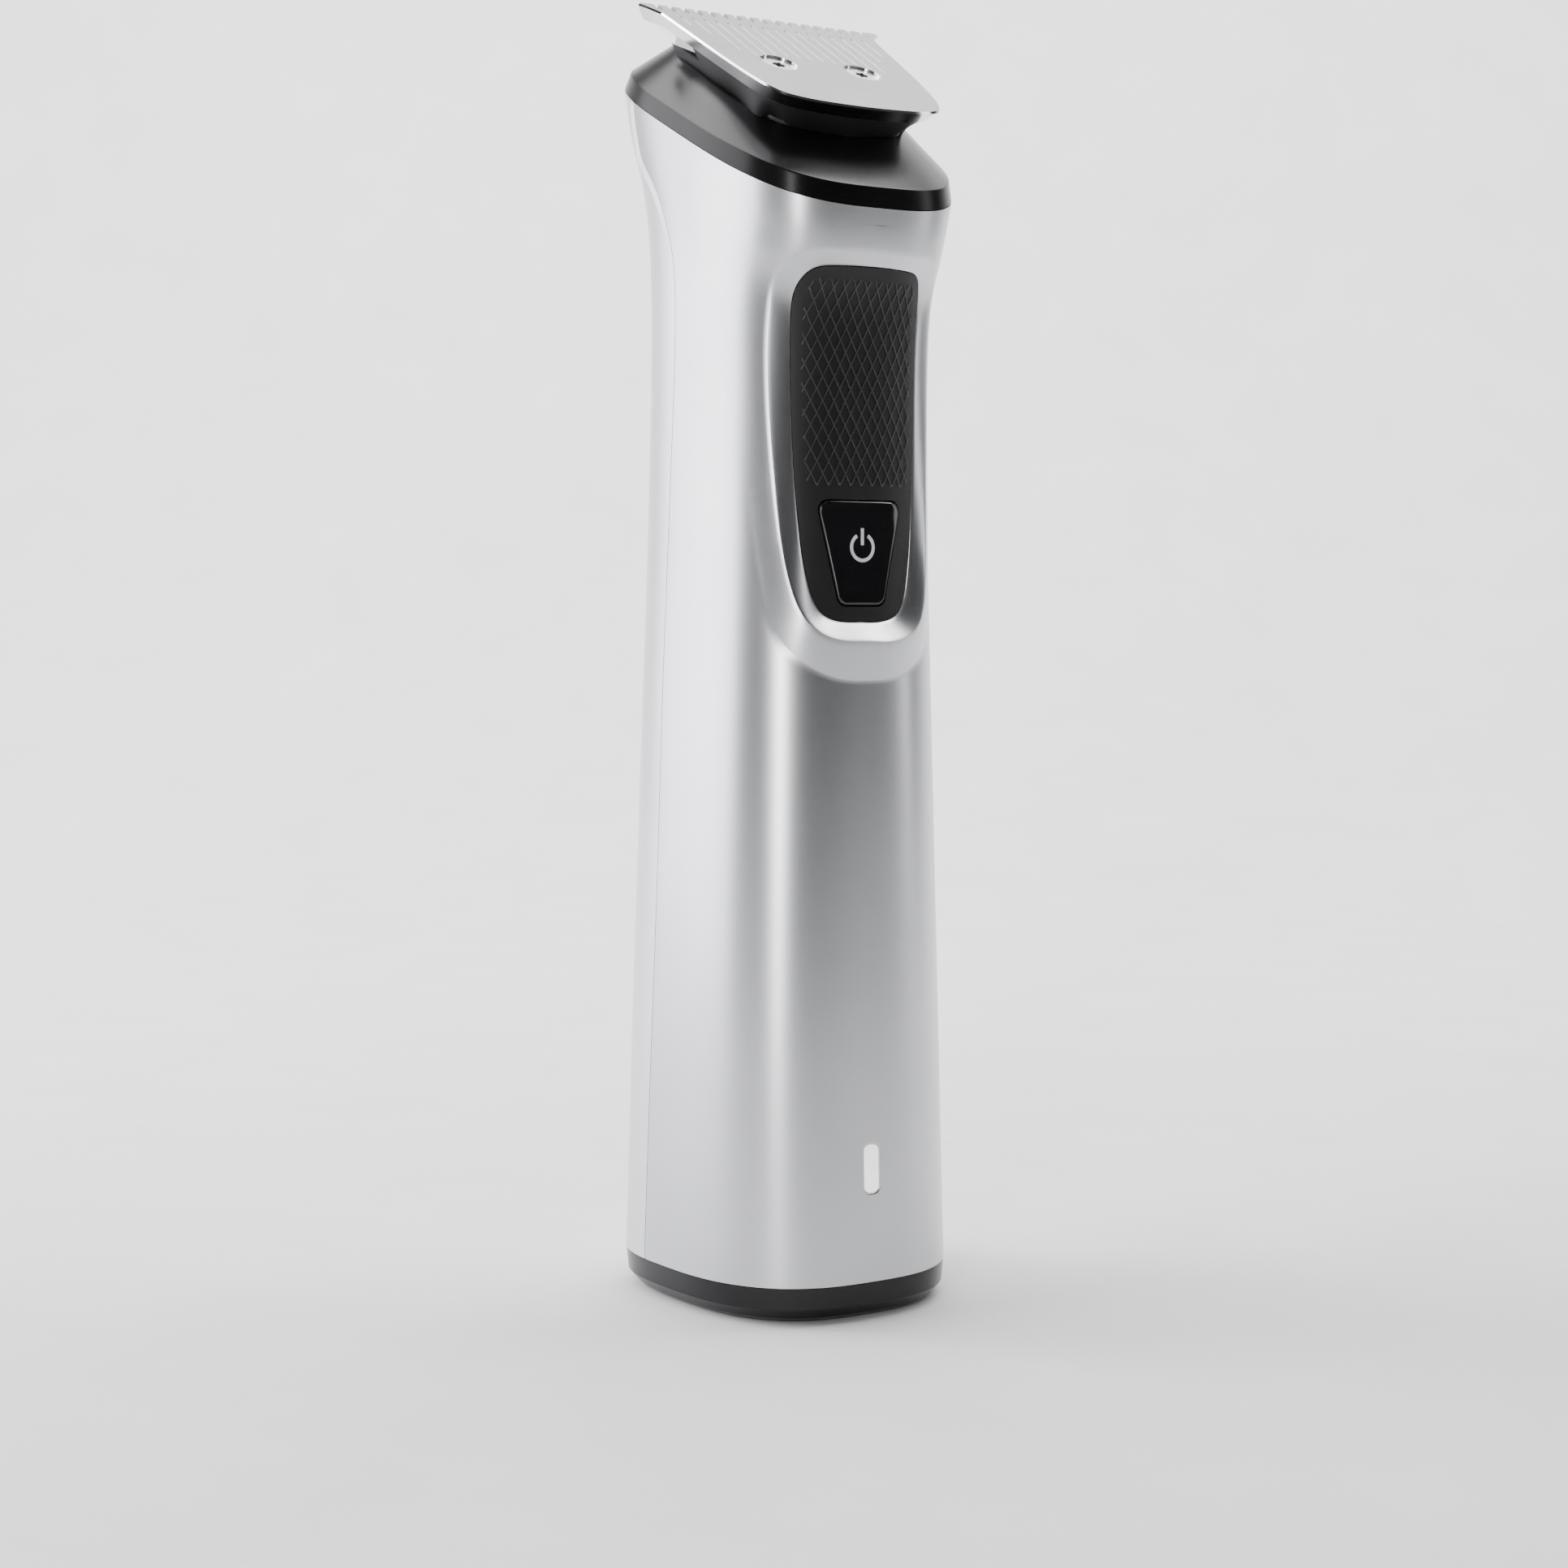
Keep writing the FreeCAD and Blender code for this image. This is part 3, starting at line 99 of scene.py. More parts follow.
def seam_depth(z):
    """Y of the seam between the shells at a height."""
    low = seam_low(np.clip(z, SEAM_FROM, SEAM_TO))
    high = np.interp(z, SEAM_TOP[:, 1], SEAM_TOP[:, 0])
    return np.where(z < SEAM_TO, low, high)


HALF_RING_STEPS = 900
FRONT_SQUARING, BACK_SQUARING = 0.45, 0.64


def half_ring(level):
    """Right half of the section at a level, from the front centre to the back centre."""
    lean, front, back, half = [float(c(level)) for c in row_curves]
    mix = float(row_mix(level))
    turn = np.linspace(-math.pi / 2, math.pi / 2, HALF_RING_STEPS)
    c, s = np.cos(turn), np.sin(turn)
    power = 2 / np.where(s < 0, FRONT_POWER + FRONT_SQUARING * mix, BACK_POWER + BACK_SQUARING * mix)
    across = np.abs(c) ** power
    along = np.sign(s) * np.abs(s) ** power
    y = (front + back) / 2 + (back - front) / 2 * along
    x = half * across * (1 + NARROWING * along)
    return np.stack([x, y, level + y * math.tan(math.radians(lean))], 1)


TABLE_ROWS, TABLE_STEPS = 420, 220
LOW, HIGH = LEVELS[0], LEVELS[-1]
SEAM_GAP = 0.1


def build_tables():
    """Points of the front and rear shells' skins on a grid of level and share, right half only."""
    levels = np.linspace(LOW, HIGH, TABLE_ROWS)
    shares = np.linspace(0, 1, TABLE_STEPS)
    front = np.zeros((TABLE_ROWS, TABLE_STEPS, 3))
    rear = np.zeros((TABLE_ROWS, TABLE_STEPS, 3))
    for k, level in enumerate(levels):
        ring = half_ring(level)
        run = np.r_[0, np.cumsum(np.linalg.norm(np.diff(ring, axis=0), axis=1))]
        past = ring[:, 1] - seam_depth(ring[:, 2])
        cross = int(np.argmax(past > 0))
        f = past[cross - 1] / (past[cross - 1] - past[cross])
        seam = run[cross - 1] + f * (run[cross] - run[cross - 1])
        for table, start, end in ((front, 0.0, seam - SEAM_GAP / 2), (rear, seam + SEAM_GAP / 2, run[-1])):
            at = start + (end - start) * shares
            for axis in range(3):
                table[k, :, axis] = np.interp(at, run, ring[:, axis])
    return front, rear


front_table, rear_table = build_tables()


def sample(table, level, share):
    """Point of the handle's skin: share runs -1 to 1 across, negative on the -X side."""
    level, share = np.broadcast_arrays(np.asarray(level, float), np.asarray(share, float))
    r = np.clip((level - LOW) / (HIGH - LOW), 0, 1) * (TABLE_ROWS - 1)
    c = np.clip(np.abs(share), 0, 1) * (TABLE_STEPS - 1)
    r0 = np.minimum(r.astype(int), TABLE_ROWS - 2)
    c0 = np.minimum(c.astype(int), TABLE_STEPS - 2)
    fr, fc = (r - r0)[..., None], (c - c0)[..., None]
    point = ((table[r0, c0] * (1 - fc) + table[r0, c0 + 1] * fc) * (1 - fr)
             + (table[r0 + 1, c0] * (1 - fc) + table[r0 + 1, c0 + 1] * fc) * fr)
    point = point.copy()
    point[..., 0] *= np.where(share < 0, -1, 1)
    return point


NORMAL_RISE, NORMAL_SHARE = 0.6, 0.02


def skin_normal(table, level, share):
    """Unit normal of the skin, pointing outwards."""
    level = np.clip(level, LOW + NORMAL_RISE, HIGH - NORMAL_RISE)
    share = np.clip(share, -1 + NORMAL_SHARE, 1 - NORMAL_SHARE)
    up = sample(table, level + NORMAL_RISE, share) - sample(table, level - NORMAL_RISE, share)
    side = sample(table, level, share + NORMAL_SHARE) - sample(table, level, share - NORMAL_SHARE)
    n = np.cross(side, up)
    return n / np.linalg.norm(n, axis=-1, keepdims=True)


FIRST_Y, WIDEST_SHARE = -17.0, 0.9
ROUNDS, LEVEL_ROUNDS, HALVINGS = 9, 4, 22


def front_param(x, z):
    """(level, share) of the front skin at a place seen from the front."""
    x, z = np.asarray(x, float), np.asarray(z, float)
    level, y = z.copy(), np.full_like(z, FIRST_Y)
    for _ in range(ROUNDS):
        for _ in range(LEVEL_ROUNDS):
            level = z - y * np.tan(np.radians(row_curves[0](np.clip(level, LOW, HIGH))))
        low, high = np.zeros_like(x), np.full_like(x, WIDEST_SHARE)
        for _ in range(HALVINGS):
            mid = (low + high) / 2
            small = sample(front_table, level, mid)[..., 0] < np.abs(x)
            low, high = np.where(small, mid, low), np.where(small, high, mid)
        share = np.copysign((low + high) / 2, x)
        y = sample(front_table, level, share)[..., 1]
    return level, share


def front_point(x, z, lift):
    """Points of the front skin seen at (x, z), raised by lift along the skin's normal."""
    level, share = front_param(x, z)
    normal = skin_normal(front_table, level, share)
    return sample(front_table, level, share) + normal * np.asarray(lift)[..., None]


# ------------------------------------------------------------------ mesh helpers
def new_object(name, points, faces, material, body, stands_for, sharp):
    """Make a mesh piece from millimetre points and attach it to its body."""
    mesh = bpy.data.meshes.new(name)
    mesh.from_pydata([tuple(np.asarray(p) * MM) for p in points], [], [tuple(f) for f in faces])
    mesh.validate()
    mesh.update()
    mesh.shade_smooth()
    mesh.set_sharp_from_angle(angle=math.radians(sharp))
    piece = bpy.data.objects.new(name, mesh)
    bpy.context.scene.collection.objects.link(piece)
    mesh.materials.append(material)
    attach(piece, body)
    if stands_for:
        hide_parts(*stands_for)


def ring_faces(first, second, count, closed=True, flip=False):
    """Quads between two rows of points given by their first index."""
    faces = []
    for n in range(count if closed else count - 1):
        m = (n + 1) % count
        quad = (first + n, first + m, second + m, second + n)
        faces.append(quad[::-1] if flip else quad)
    return faces


def stack_rings(rings, cap_last=False):
    """Join rings of equal length into one surface, with a face over the last one if asked."""
    count = len(rings[0])
    points = [p for ring in rings for p in ring]
    faces = []
    for k in range(len(rings) - 1):
        faces += ring_faces(k * count, (k + 1) * count, count)
    if cap_last:
        faces.append(tuple(range((len(rings) - 1) * count, len(rings) * count)))
    return points, faces


def polar_outline(points, centre):
    """A star-shaped closed outline as a function from angle to radius."""
    pts = np.asarray(points, float)
    dx, dz = pts[:, 0] - centre[0], pts[:, 1] - centre[1]
    angle = np.arctan2(dz, dx)
    radius = np.hypot(dx, dz)
    order = np.argsort(angle)
    angle, radius = angle[order], radius[order]
    angle = np.r_[angle[-1] - 2 * math.pi, angle, angle[0] + 2 * math.pi]
    radius = np.r_[radius[-1], radius, radius[0]]
    return lambda a: np.interp((np.asarray(a) + math.pi) % (2 * math.pi) - math.pi, angle, radius)


CURVE_STEPS = 1200


def closed_curve(knots):
    """Dense smooth closed outline through a half outline mirrored left to right."""
    right = np.array(knots, float)
    left = right[::-1] * np.array([-1, 1])
    ring = np.vstack([right, left[left[:, 0] < -0.01]])
    ring = ring[np.r_[True, np.linalg.norm(np.diff(ring, axis=0), axis=1) > 1e-6]]
    ring = np.vstack([ring, ring[:3]])
    run = np.r_[0, np.cumsum(np.linalg.norm(np.diff(ring, axis=0), axis=1))]
    fx, fz = spline(run, ring[:, 0]), spline(run, ring[:, 1])
    at = np.linspace(run[1], run[-2], CURVE_STEPS)
    return np.stack([fx(at), fz(at)], 1)


# outlines seen from the front, right half from the bottom up: (x, z)
PANEL = [(0, 83.4), (3.2, 83.5), (5.4, 84.3), (6.6, 85.9), (7.3, 88.0), (7.9, 91.0), (8.35, 95.0),
         (8.75, 100.0), (9.0, 106.0), (9.2, 113.0), (9.3, 119.0), (9.05, 122.1), (7.9, 123.7),
         (5.4, 124.25), (0, 124.4)]
BEVEL = [(0, 81.1), (4.0, 81.2), (6.4, 82.2), (8.1, 84.3), (9.2, 87.6), (10.0, 92.5), (10.5, 98.0),
         (10.9, 103.5), (11.2, 109.5), (11.35, 116.0), (11.3, 121.0), (10.8, 124.2), (9.2, 125.8),
         (6.0, 126.2), (0, 126.3)]
SHOULDER = [(0, 76.4), (3.5, 76.6), (6.6, 77.7), (9.6, 80.2), (11.2, 83.6), (11.9, 88.0), (12.3, 93.0),
            (12.7, 98.5), (13.0, 104.0), (13.2, 110.0), (13.3, 116.5), (13.2, 122.0), (12.6, 126.0),
            (10.6, 128.4), (7.0, 129.1), (0, 129.3)]
CENTRE = (0.0, 103.0)
panel_at = polar_outline(closed_curve(PANEL), CENTRE)
bevel_at = polar_outline(closed_curve(BEVEL), CENTRE)
shoulder_at = polar_outline(closed_curve(SHOULDER), CENTRE)
PANEL_DEPTH = 0.95
LIFT_Z = [81, 84, 88, 93, 100, 126]
LIFT_THERE = [0.95, 0.85, 0.6, 0.3, 0.1, 0.0]


def shoulder_lift(angle):
    """How proud the bezel stands of the handle: most below the button, none at the top."""
    z = CENTRE[1] + bevel_at(angle) * np.sin(angle)
    return np.interp(z, LIFT_Z, LIFT_THERE)


# ------------------------------------------------------------------ materials
def principled(name):
    material = bpy.data.materials.new(name)
    material.use_nodes = True
    tree = material.node_tree
    return material, tree, tree.nodes["Principled BSDF"]


NOISE_ROUGHNESS = 0.55
WEAR_SCALE = 60


def noise(tree, scale, detail, stretch=None):
    """Noise in object space, in metres, optionally stretched along an axis."""
    coords = tree.nodes.new("ShaderNodeTexCoord")
    mapping = tree.nodes.new("ShaderNodeMapping")
    mapping.inputs["Scale"].default_value = stretch or (1, 1, 1)
    texture = tree.nodes.new("ShaderNodeTexNoise")
    texture.inputs["Scale"].default_value = scale
    texture.inputs["Detail"].default_value = detail
    texture.inputs["Roughness"].default_value = NOISE_ROUGHNESS
    tree.links.new(coords.outputs["Object"], mapping.inputs["Vector"])
    tree.links.new(mapping.outputs["Vector"], texture.inputs["Vector"])
    return texture


def map_range(tree, source, low, high, to_low, to_high):
    node = tree.nodes.new("ShaderNodeMapRange")
    node.inputs["From Min"].default_value = low
    node.inputs["From Max"].default_value = high
    node.inputs["To Min"].default_value = to_low
    node.inputs["To Max"].default_value = to_high
    tree.links.new(source, node.inputs["Value"])
    return node.outputs["Result"]


def ramp(tree, source, low, high):
    node = tree.nodes.new("ShaderNodeValToRGB")
    node.color_ramp.elements[0].color = (*low, 1)
    node.color_ramp.elements[1].color = (*high, 1)
    node.color_ramp.elements[0].position = 0.3
    node.color_ramp.elements[1].position = 0.7
    tree.links.new(source, node.inputs["Fac"])
    return node.outputs["Color"]


def bump(tree, shader, source, strength, distance):
    node = tree.nodes.new("ShaderNodeBump")
    node.inputs["Strength"].default_value = strength
    node.inputs["Distance"].default_value = distance
    tree.links.new(source, node.inputs["Height"])
    tree.links.new(node.outputs["Normal"], shader.inputs["Normal"])


def finish_material(name, low, high, metallic, rough, grain=2500, spread=0.06, bump_size=0.00002,
                    bump_strength=0.25, stretch=None, coat=0.0, ior=1.5, shine=0.5):
    """Procedural material: two close tones, uneven gloss and a fine surface grain."""
    material, tree, shader = principled(name)
    tone = noise(tree, WEAR_SCALE, 5.0)
    tree.links.new(ramp(tree, tone.outputs["Fac"], low, high), shader.inputs["Base Color"])
    shader.inputs["Metallic"].default_value = metallic
    shader.inputs["IOR"].default_value = ior
    shader.inputs["Specular IOR Level"].default_value = shine
    shader.inputs["Coat Weight"].default_value = coat
    shader.inputs["Coat Roughness"].default_value = 0.05
    fine = noise(tree, grain, 3.0, stretch)
    gloss = map_range(tree, fine.outputs["Fac"], 0.25, 0.75, rough - spread, rough + spread)
    tree.links.new(gloss, shader.inputs["Roughness"])
    bump(tree, shader, fine.outputs["Fac"], bump_strength, bump_size)
    return material


steel = finish_material("satin_steel", (0.50, 0.505, 0.525), (0.54, 0.545, 0.565), 1.0, 0.31, grain=9000,
                        spread=0.04, bump_size=0.000004, bump_strength=0.12)
silver = finish_material("silver_plastic", (0.56, 0.565, 0.59), (0.60, 0.605, 0.625), 0.85, 0.34, grain=8000,
                         spread=0.04, bump_size=0.000004, bump_strength=0.12)
gloss_black = finish_material("gloss_black", (0.003, 0.003, 0.0035), (0.005, 0.005, 0.0055), 0.0, 0.24,
                              grain=9000, spread=0.03, bump_size=0.000001, bump_strength=0.03, ior=1.4,
                              shine=0.22)
button_black = finish_material("button_black", (0.004, 0.004, 0.005), (0.007, 0.007, 0.008), 0.0, 0.07,
                               grain=700, spread=0.02, bump_size=0.000003, bump_strength=0.06, ior=1.5)
satin_black = finish_material("satin_black", (0.004, 0.004, 0.0045), (0.006, 0.006, 0.0065), 0.0, 0.25,
                              grain=9000, spread=0.03, bump_size=0.000001, bump_strength=0.04, ior=1.42,
                              shine=0.4)
matt_black = finish_material("matt_black", (0.010, 0.010, 0.011), (0.014, 0.014, 0.015), 0.0, 0.45,
                             grain=5000, spread=0.06, bump_size=0.000006, bump_strength=0.2, ior=1.42)
soft_black = finish_material("soft_black", (0.0065, 0.0058, 0.0058), (0.0095, 0.0088, 0.0088), 0.0, 0.5,
                             grain=3800, shine=0.3, spread=0.07, bump_size=0.000016, bump_strength=0.3)
rib_black = finish_material("rib_black", (0.030, 0.029, 0.029), (0.042, 0.041, 0.041), 0.0, 0.42, grain=3800,
                            spread=0.07, bump_size=0.00001, bump_strength=0.2)
blade_steel = finish_material("blade_satin", (0.66, 0.665, 0.675), (0.71, 0.715, 0.725), 1.0, 0.36,
                              grain=4000, spread=0.06, bump_size=0.00001, bump_strength=0.2)
icon_silver = finish_material("icon_silver", (0.62, 0.62, 0.64), (0.7, 0.7, 0.72), 0.3, 0.35, grain=2500,
                              spread=0.05, bump_size=0.000004, bump_strength=0.1)
screw_steel = finish_material("screw_steel", (0.5, 0.5, 0.52), (0.6, 0.6, 0.62), 1.0, 0.26, grain=2500,
                              spread=0.08, bump_size=0.00001, bump_strength=0.2)
spring_steel = finish_material("spring_steel", (0.5, 0.5, 0.52), (0.58, 0.58, 0.6), 1.0, 0.2, grain=2200,
                               spread=0.06)
motor_steel = finish_material("motor_steel", (0.4, 0.4, 0.42), (0.5, 0.5, 0.52), 1.0, 0.35, grain=1600,
                              spread=0.1)
nickel = finish_material("nickel", (0.62, 0.6, 0.56), (0.7, 0.68, 0.64), 1.0, 0.25, grain=1800, spread=0.07)
brass = finish_material("brass_parts", (0.62, 0.46, 0.2), (0.74, 0.56, 0.27), 1.0, 0.3, grain=1800,
                        spread=0.08)
bronze = finish_material("bronze", (0.4, 0.26, 0.14), (0.5, 0.33, 0.18), 1.0, 0.5, grain=2600, spread=0.1)
copper = finish_material("copper_wire", (0.55, 0.22, 0.1), (0.66, 0.3, 0.15), 1.0, 0.32, grain=1400,
                         spread=0.08, stretch=(1, 1, 14), bump_size=0.0001, bump_strength=0.5)
ferrite = finish_material("ferrite", (0.05, 0.05, 0.055), (0.08, 0.08, 0.085), 0.2, 0.65, grain=2200,
                          spread=0.1)
rubber = finish_material("dark_rubber", (0.015, 0.015, 0.015), (0.024, 0.024, 0.024), 0.0, 0.7, grain=2600,
                         spread=0.1)
grey_plastic = finish_material("grey_plastic", (0.2, 0.205, 0.215), (0.25, 0.255, 0.265), 0.0, 0.45,
                               grain=2400)
natural = finish_material("natural_plastic", (0.66, 0.64, 0.58), (0.74, 0.72, 0.66), 0.0, 0.38, grain=2200)
wrap = finish_material("cell_wrap", (0.02, 0.12, 0.3), (0.03, 0.16, 0.36), 0.0, 0.22, grain=900, spread=0.05,
                       coat=0.3)
board = finish_material("board_green", (0.01, 0.09, 0.04), (0.015, 0.12, 0.055), 0.0, 0.35, grain=1500,
                        spread=0.08, coat=0.2)
chip = finish_material("chip_black", (0.02, 0.02, 0.022), (0.03, 0.03, 0.033), 0.0, 0.5, grain=3000)
lead_red = finish_material("lead_red", (0.35, 0.012, 0.012), (0.45, 0.02, 0.02), 0.0, 0.42, grain=2200)


def light_material():
    """Milky light guide, lit from behind, its glow and gloss uneven in small noise clouds."""
    material, tree, shader = principled("light_guide")
    shader.inputs["Base Color"].default_value = (0.85, 0.86, 0.88, 1)
    shader.inputs["Emission Color"].default_value = (1.0, 1.0, 1.0, 1)
    cloud = noise(tree, 500, 2.0)
    tree.links.new(map_range(tree, cloud.outputs["Fac"], 0.2, 0.8, 0.9, 1.25),
                   shader.inputs["Emission Strength"])
    tree.links.new(map_range(tree, cloud.outputs["Fac"], 0.2, 0.8, 0.25, 0.4), shader.inputs["Roughness"])
    return material


glow = light_material()


HEAD_UP = (0.0, -0.50904, 0.86074)
HEAD_HEIGHT = 0.00532 * 0.50904 + 0.15043 * 0.86074
TOP_FACE_FROM, TOP_FACE_FULL = 0.93, 0.97
GROOVE_FROM, GROOVE_FULL = -0.00003, -0.00006


def plate_material():
    """Comb plate: rougher, finely grained top face whose base colour is set far darker than the rim's as
    painted shade, polished rim and teeth flanks in a light steel colour, bright engraved lines.
    """
    material, tree, shader = principled("comb_plate")
    coords = tree.nodes.new("ShaderNodeTexCoord")

    def along_normal(source, subtract):
        dot = tree.nodes.new("ShaderNodeVectorMath")
        dot.operation = "DOT_PRODUCT"
        dot.inputs[1].default_value = HEAD_UP
        tree.links.new(source, dot.inputs[0])
        less = tree.nodes.new("ShaderNodeMath")
        less.operation = "SUBTRACT"
        less.inputs[1].default_value = subtract
        tree.links.new(dot.outputs["Value"], less.inputs[0])
        return less.outputs["Value"]

    facing = along_normal(coords.outputs["Normal"], 0.0)
    height = along_normal(coords.outputs["Object"], HEAD_HEIGHT)
    top_mask = map_range(tree, facing, TOP_FACE_FROM, TOP_FACE_FULL, 0.0, 1.0)
    line_mask = map_range(tree, height, GROOVE_FROM, GROOVE_FULL, 0.0, 1.0)
    grain = noise(tree, 6000, 3.0)
    tone = noise(tree, 90, 4.0)
    # top face colour: painted shade, far darker than the rim's steel colour, with a random tone
    shaded_satin_tone = ramp(tree, tone.outputs["Fac"], (0.24, 0.242, 0.24), (0.28, 0.282, 0.28))

    def mix(first, second, mask):
        node = tree.nodes.new("ShaderNodeMix")
        node.data_type = "RGBA"
        tree.links.new(mask, node.inputs["Factor"])
        for key, value in (("A", first), ("B", second)):
            socket = [i for i in node.inputs if i.name == key and i.type == "RGBA"][0]
            if isinstance(value, tuple):
                socket.default_value = value
            else:
                tree.links.new(value, socket)
        return [o for o in node.outputs if o.type == "RGBA"][0]

    top = mix(shaded_satin_tone, (0.95, 0.95, 0.95, 1), line_mask)
    # base colour: light steel on the rim and teeth flanks, the painted-shade colour on the top face
    tree.links.new(mix((0.74, 0.74, 0.745, 1), top, top_mask), shader.inputs["Base Color"])
    shader.inputs["Metallic"].default_value = 1.0
    rough = map_range(tree, top_mask, 0.0, 1.0, 0.13, 0.36)
    wear = tree.nodes.new("ShaderNodeMath")
    wear.operation = "MULTIPLY"
    tree.links.new(rough, wear.inputs[0])
    tree.links.new(map_range(tree, grain.outputs["Fac"], 0.2, 0.8, 0.85, 1.15), wear.inputs[1])
    tree.links.new(wear.outputs["Value"], shader.inputs["Roughness"])
    bump(tree, shader, grain.outputs["Fac"], 0.1, 0.000003)
    return material


comb_plate = plate_material()


GRIP_TILT, GRIP_SCALE = 28, 170
GRIP_EDGES = (("Y", 0.0105, 0.0115), ("Z", 0.040, 0.041), ("Z", 0.128, 0.127))


def diamond_grip_material():
    """Silver plastic of the rear shell with a fine moulded diamond grip on its back."""
    material, tree, shader = principled("silver_grip")
    tone = noise(tree, 60, 5.0)
    tree.links.new(ramp(tree, tone.outputs["Fac"], (0.62, 0.625, 0.655), (0.66, 0.665, 0.69)),
                   shader.inputs["Base Color"])
    shader.inputs["Metallic"].default_value = 0.85
    fine = noise(tree, 3600, 3.0)
    tree.links.new(map_range(tree, fine.outputs["Fac"], 0.25, 0.75, 0.31, 0.41), shader.inputs["Roughness"])
    coords = tree.nodes.new("ShaderNodeTexCoord")
    waves = []
    for side in (1, -1):
        mapping = tree.nodes.new("ShaderNodeMapping")
        mapping.inputs["Rotation"].default_value = (0, math.radians(GRIP_TILT * side), 0)
        wave = tree.nodes.new("ShaderNodeTexWave")
        wave.wave_type = "BANDS"
        wave.bands_direction = "X"
        wave.inputs["Scale"].default_value = GRIP_SCALE
        tree.links.new(coords.outputs["Object"], mapping.inputs["Vector"])
        tree.links.new(mapping.outputs["Vector"], wave.inputs["Vector"])
        waves.append(map_range(tree, wave.outputs["Fac"], 0.85, 1.0, 0.0, 1.0))
    top = tree.nodes.new("ShaderNodeMath")
    top.operation = "MAXIMUM"
    tree.links.new(waves[0], top.inputs[0])
    tree.links.new(waves[1], top.inputs[1])
    place = tree.nodes.new("ShaderNodeSeparateXYZ")
    tree.links.new(coords.outputs["Object"], place.inputs["Vector"])
    masks = [map_range(tree, place.outputs[axis], none, full, 0.0, 1.0) for axis, none, full in GRIP_EDGES]
    value = top.outputs["Value"]
    for mask in masks:
        times = tree.nodes.new("ShaderNodeMath")
        times.operation = "MULTIPLY"
        tree.links.new(value, times.inputs[0])
        tree.links.new(mask, times.inputs[1])
        value = times.outputs["Value"]
    bump(tree, shader, value, 0.5, 0.00012)
    return material


silver_grip = diamond_grip_material()

SLOT_MATERIALS = {
    "satin_steel": steel, "silver_plastic": silver, "gloss_black": gloss_black, "satin_black": satin_black,
    "dark_rubber": rubber, "matt_black": matt_black, "nickel": nickel, "soft_black": soft_black,
    "icon_silver": icon_silver, "light_guide": glow, "spring_steel": spring_steel, "blade_steel": blade_steel,
    "screw_steel": screw_steel, "natural_plastic": natural, "motor_steel": motor_steel, "brass_parts": brass,
    "ferrite": ferrite, "bronze": bronze, "copper_wire": copper, "grey_plastic": grey_plastic,
    "cell_wrap": wrap, "board_green": board, "chip_black": chip, "lead_red": lead_red,
}
for entry in frame["record"]["subparts"]:
    node = frame["nodes"][entry["node"]]
    for place in node.material_slots:
        place.material = SLOT_MATERIALS[entry["material_slot"]]
for place in frame["nodes"]["guard_plate"].material_slots:
    place.material = comb_plate

# ------------------------------------------------------------------ front shell
HALF_COLUMNS = 56
ROW_STEP = 0.55
rows = int(round((HIGH - LOW) / ROW_STEP))
row_levels = np.linspace(LOW, HIGH, rows + 1)
COLUMN_MM, BORDER_SHARE = 24.5, 0.9


def front_z(level):
    """Height at which a level's section meets the front of the handle."""
    front = row_curves[1](level)
    return level + front * np.tan(np.radians(row_curves[0](level)))


class Patch:
    """A rectangle of the shell's grid whose inside is filled by rings round an opening."""

    def __init__(self, columns, low, high, centre):
        self.columns = columns
        self.low = int(np.argmin(np.abs(row_levels - low)))
        self.high = int(np.argmin(np.abs(row_levels - high)))
        self.centre = centre

    def covers(self, i, j):
        """Whether a grid node lies inside the rectangle and off its border."""
        return -self.columns < i < self.columns and self.low < j < self.high

    def holds(self, i, j):
        """Whether a grid cell, named by its lower left node, lies in the rectangle."""
        return -self.columns <= i < self.columns and self.low <= j < self.high

    def border(self):
        """Grid nodes round the rectangle, anticlockwise seen from the front."""
        n = self.columns
        nodes = [(i, self.low) for i in range(-n, n)]
        nodes += [(n, j) for j in range(self.low, self.high)]
        nodes += [(i, self.high) for i in range(n, -n, -1)]
        nodes += [(-n, j) for j in range(self.high, self.low, -1)]
        return nodes

    def angles(self):
        """Direction of each border node from the opening's centre."""
        nodes = np.array(self.border(), float)
        x = nodes[:, 0] / HALF_COLUMNS * COLUMN_MM * BORDER_SHARE
        z = front_z(row_levels[nodes[:, 1].astype(int)])
        return np.arctan2(z - self.centre[1], x - self.centre[0])


main_patch = Patch(columns=42, low=67.0, high=138.0, centre=CENTRE)
LIGHT = (0.0, 18.2)
LIGHT_HALF_WIDE, LIGHT_HALF_TALL, LIGHT_CORNER = 1.05, 2.9, 0.75
light_patch = Patch(columns=9, low=11.0, high=26.0, centre=LIGHT)


OUTLINE_STEPS = 2400


def rounded_radius(angle, wide, tall, corner):
    """Distance from the centre to a rounded rectangle along each angle."""
    angle = np.asarray(angle, float)
    ts = np.linspace(0, 2 * math.pi, OUTLINE_STEPS, endpoint=False)
    c, s = np.cos(ts), np.sin(ts)
    x = np.sign(c) * (wide - corner) + corner * c
    z = np.sign(s) * (tall - corner) + corner * s
    at = np.arctan2(z, x)
    order = np.argsort(at)
    at = at[order]
    ok = np.r_[True, np.diff(at) > 1e-9]
    at, x, z = at[ok], x[order][ok], z[order][ok]
    at = np.r_[at[-1] - 2 * math.pi, at, at[0] + 2 * math.pi]
    x, z = np.r_[x[-1], x, x[0]], np.r_[z[-1], z, z[0]]
    k = np.clip(np.searchsorted(at, angle) - 1, 0, len(at) - 2)
    ax, az, bx, bz = x[k], z[k], x[k + 1], z[k + 1]
    dx, dz = np.cos(angle), np.sin(angle)
    cross = dx * (bz - az) - dz * (bx - ax)
    return (ax * (bz - az) - az * (bx - ax)) / np.where(np.abs(cross) < 1e-12, 1e-12, cross)


points, index = [], {}


def add_point(p):
    points.append(p)
    return len(points) - 1


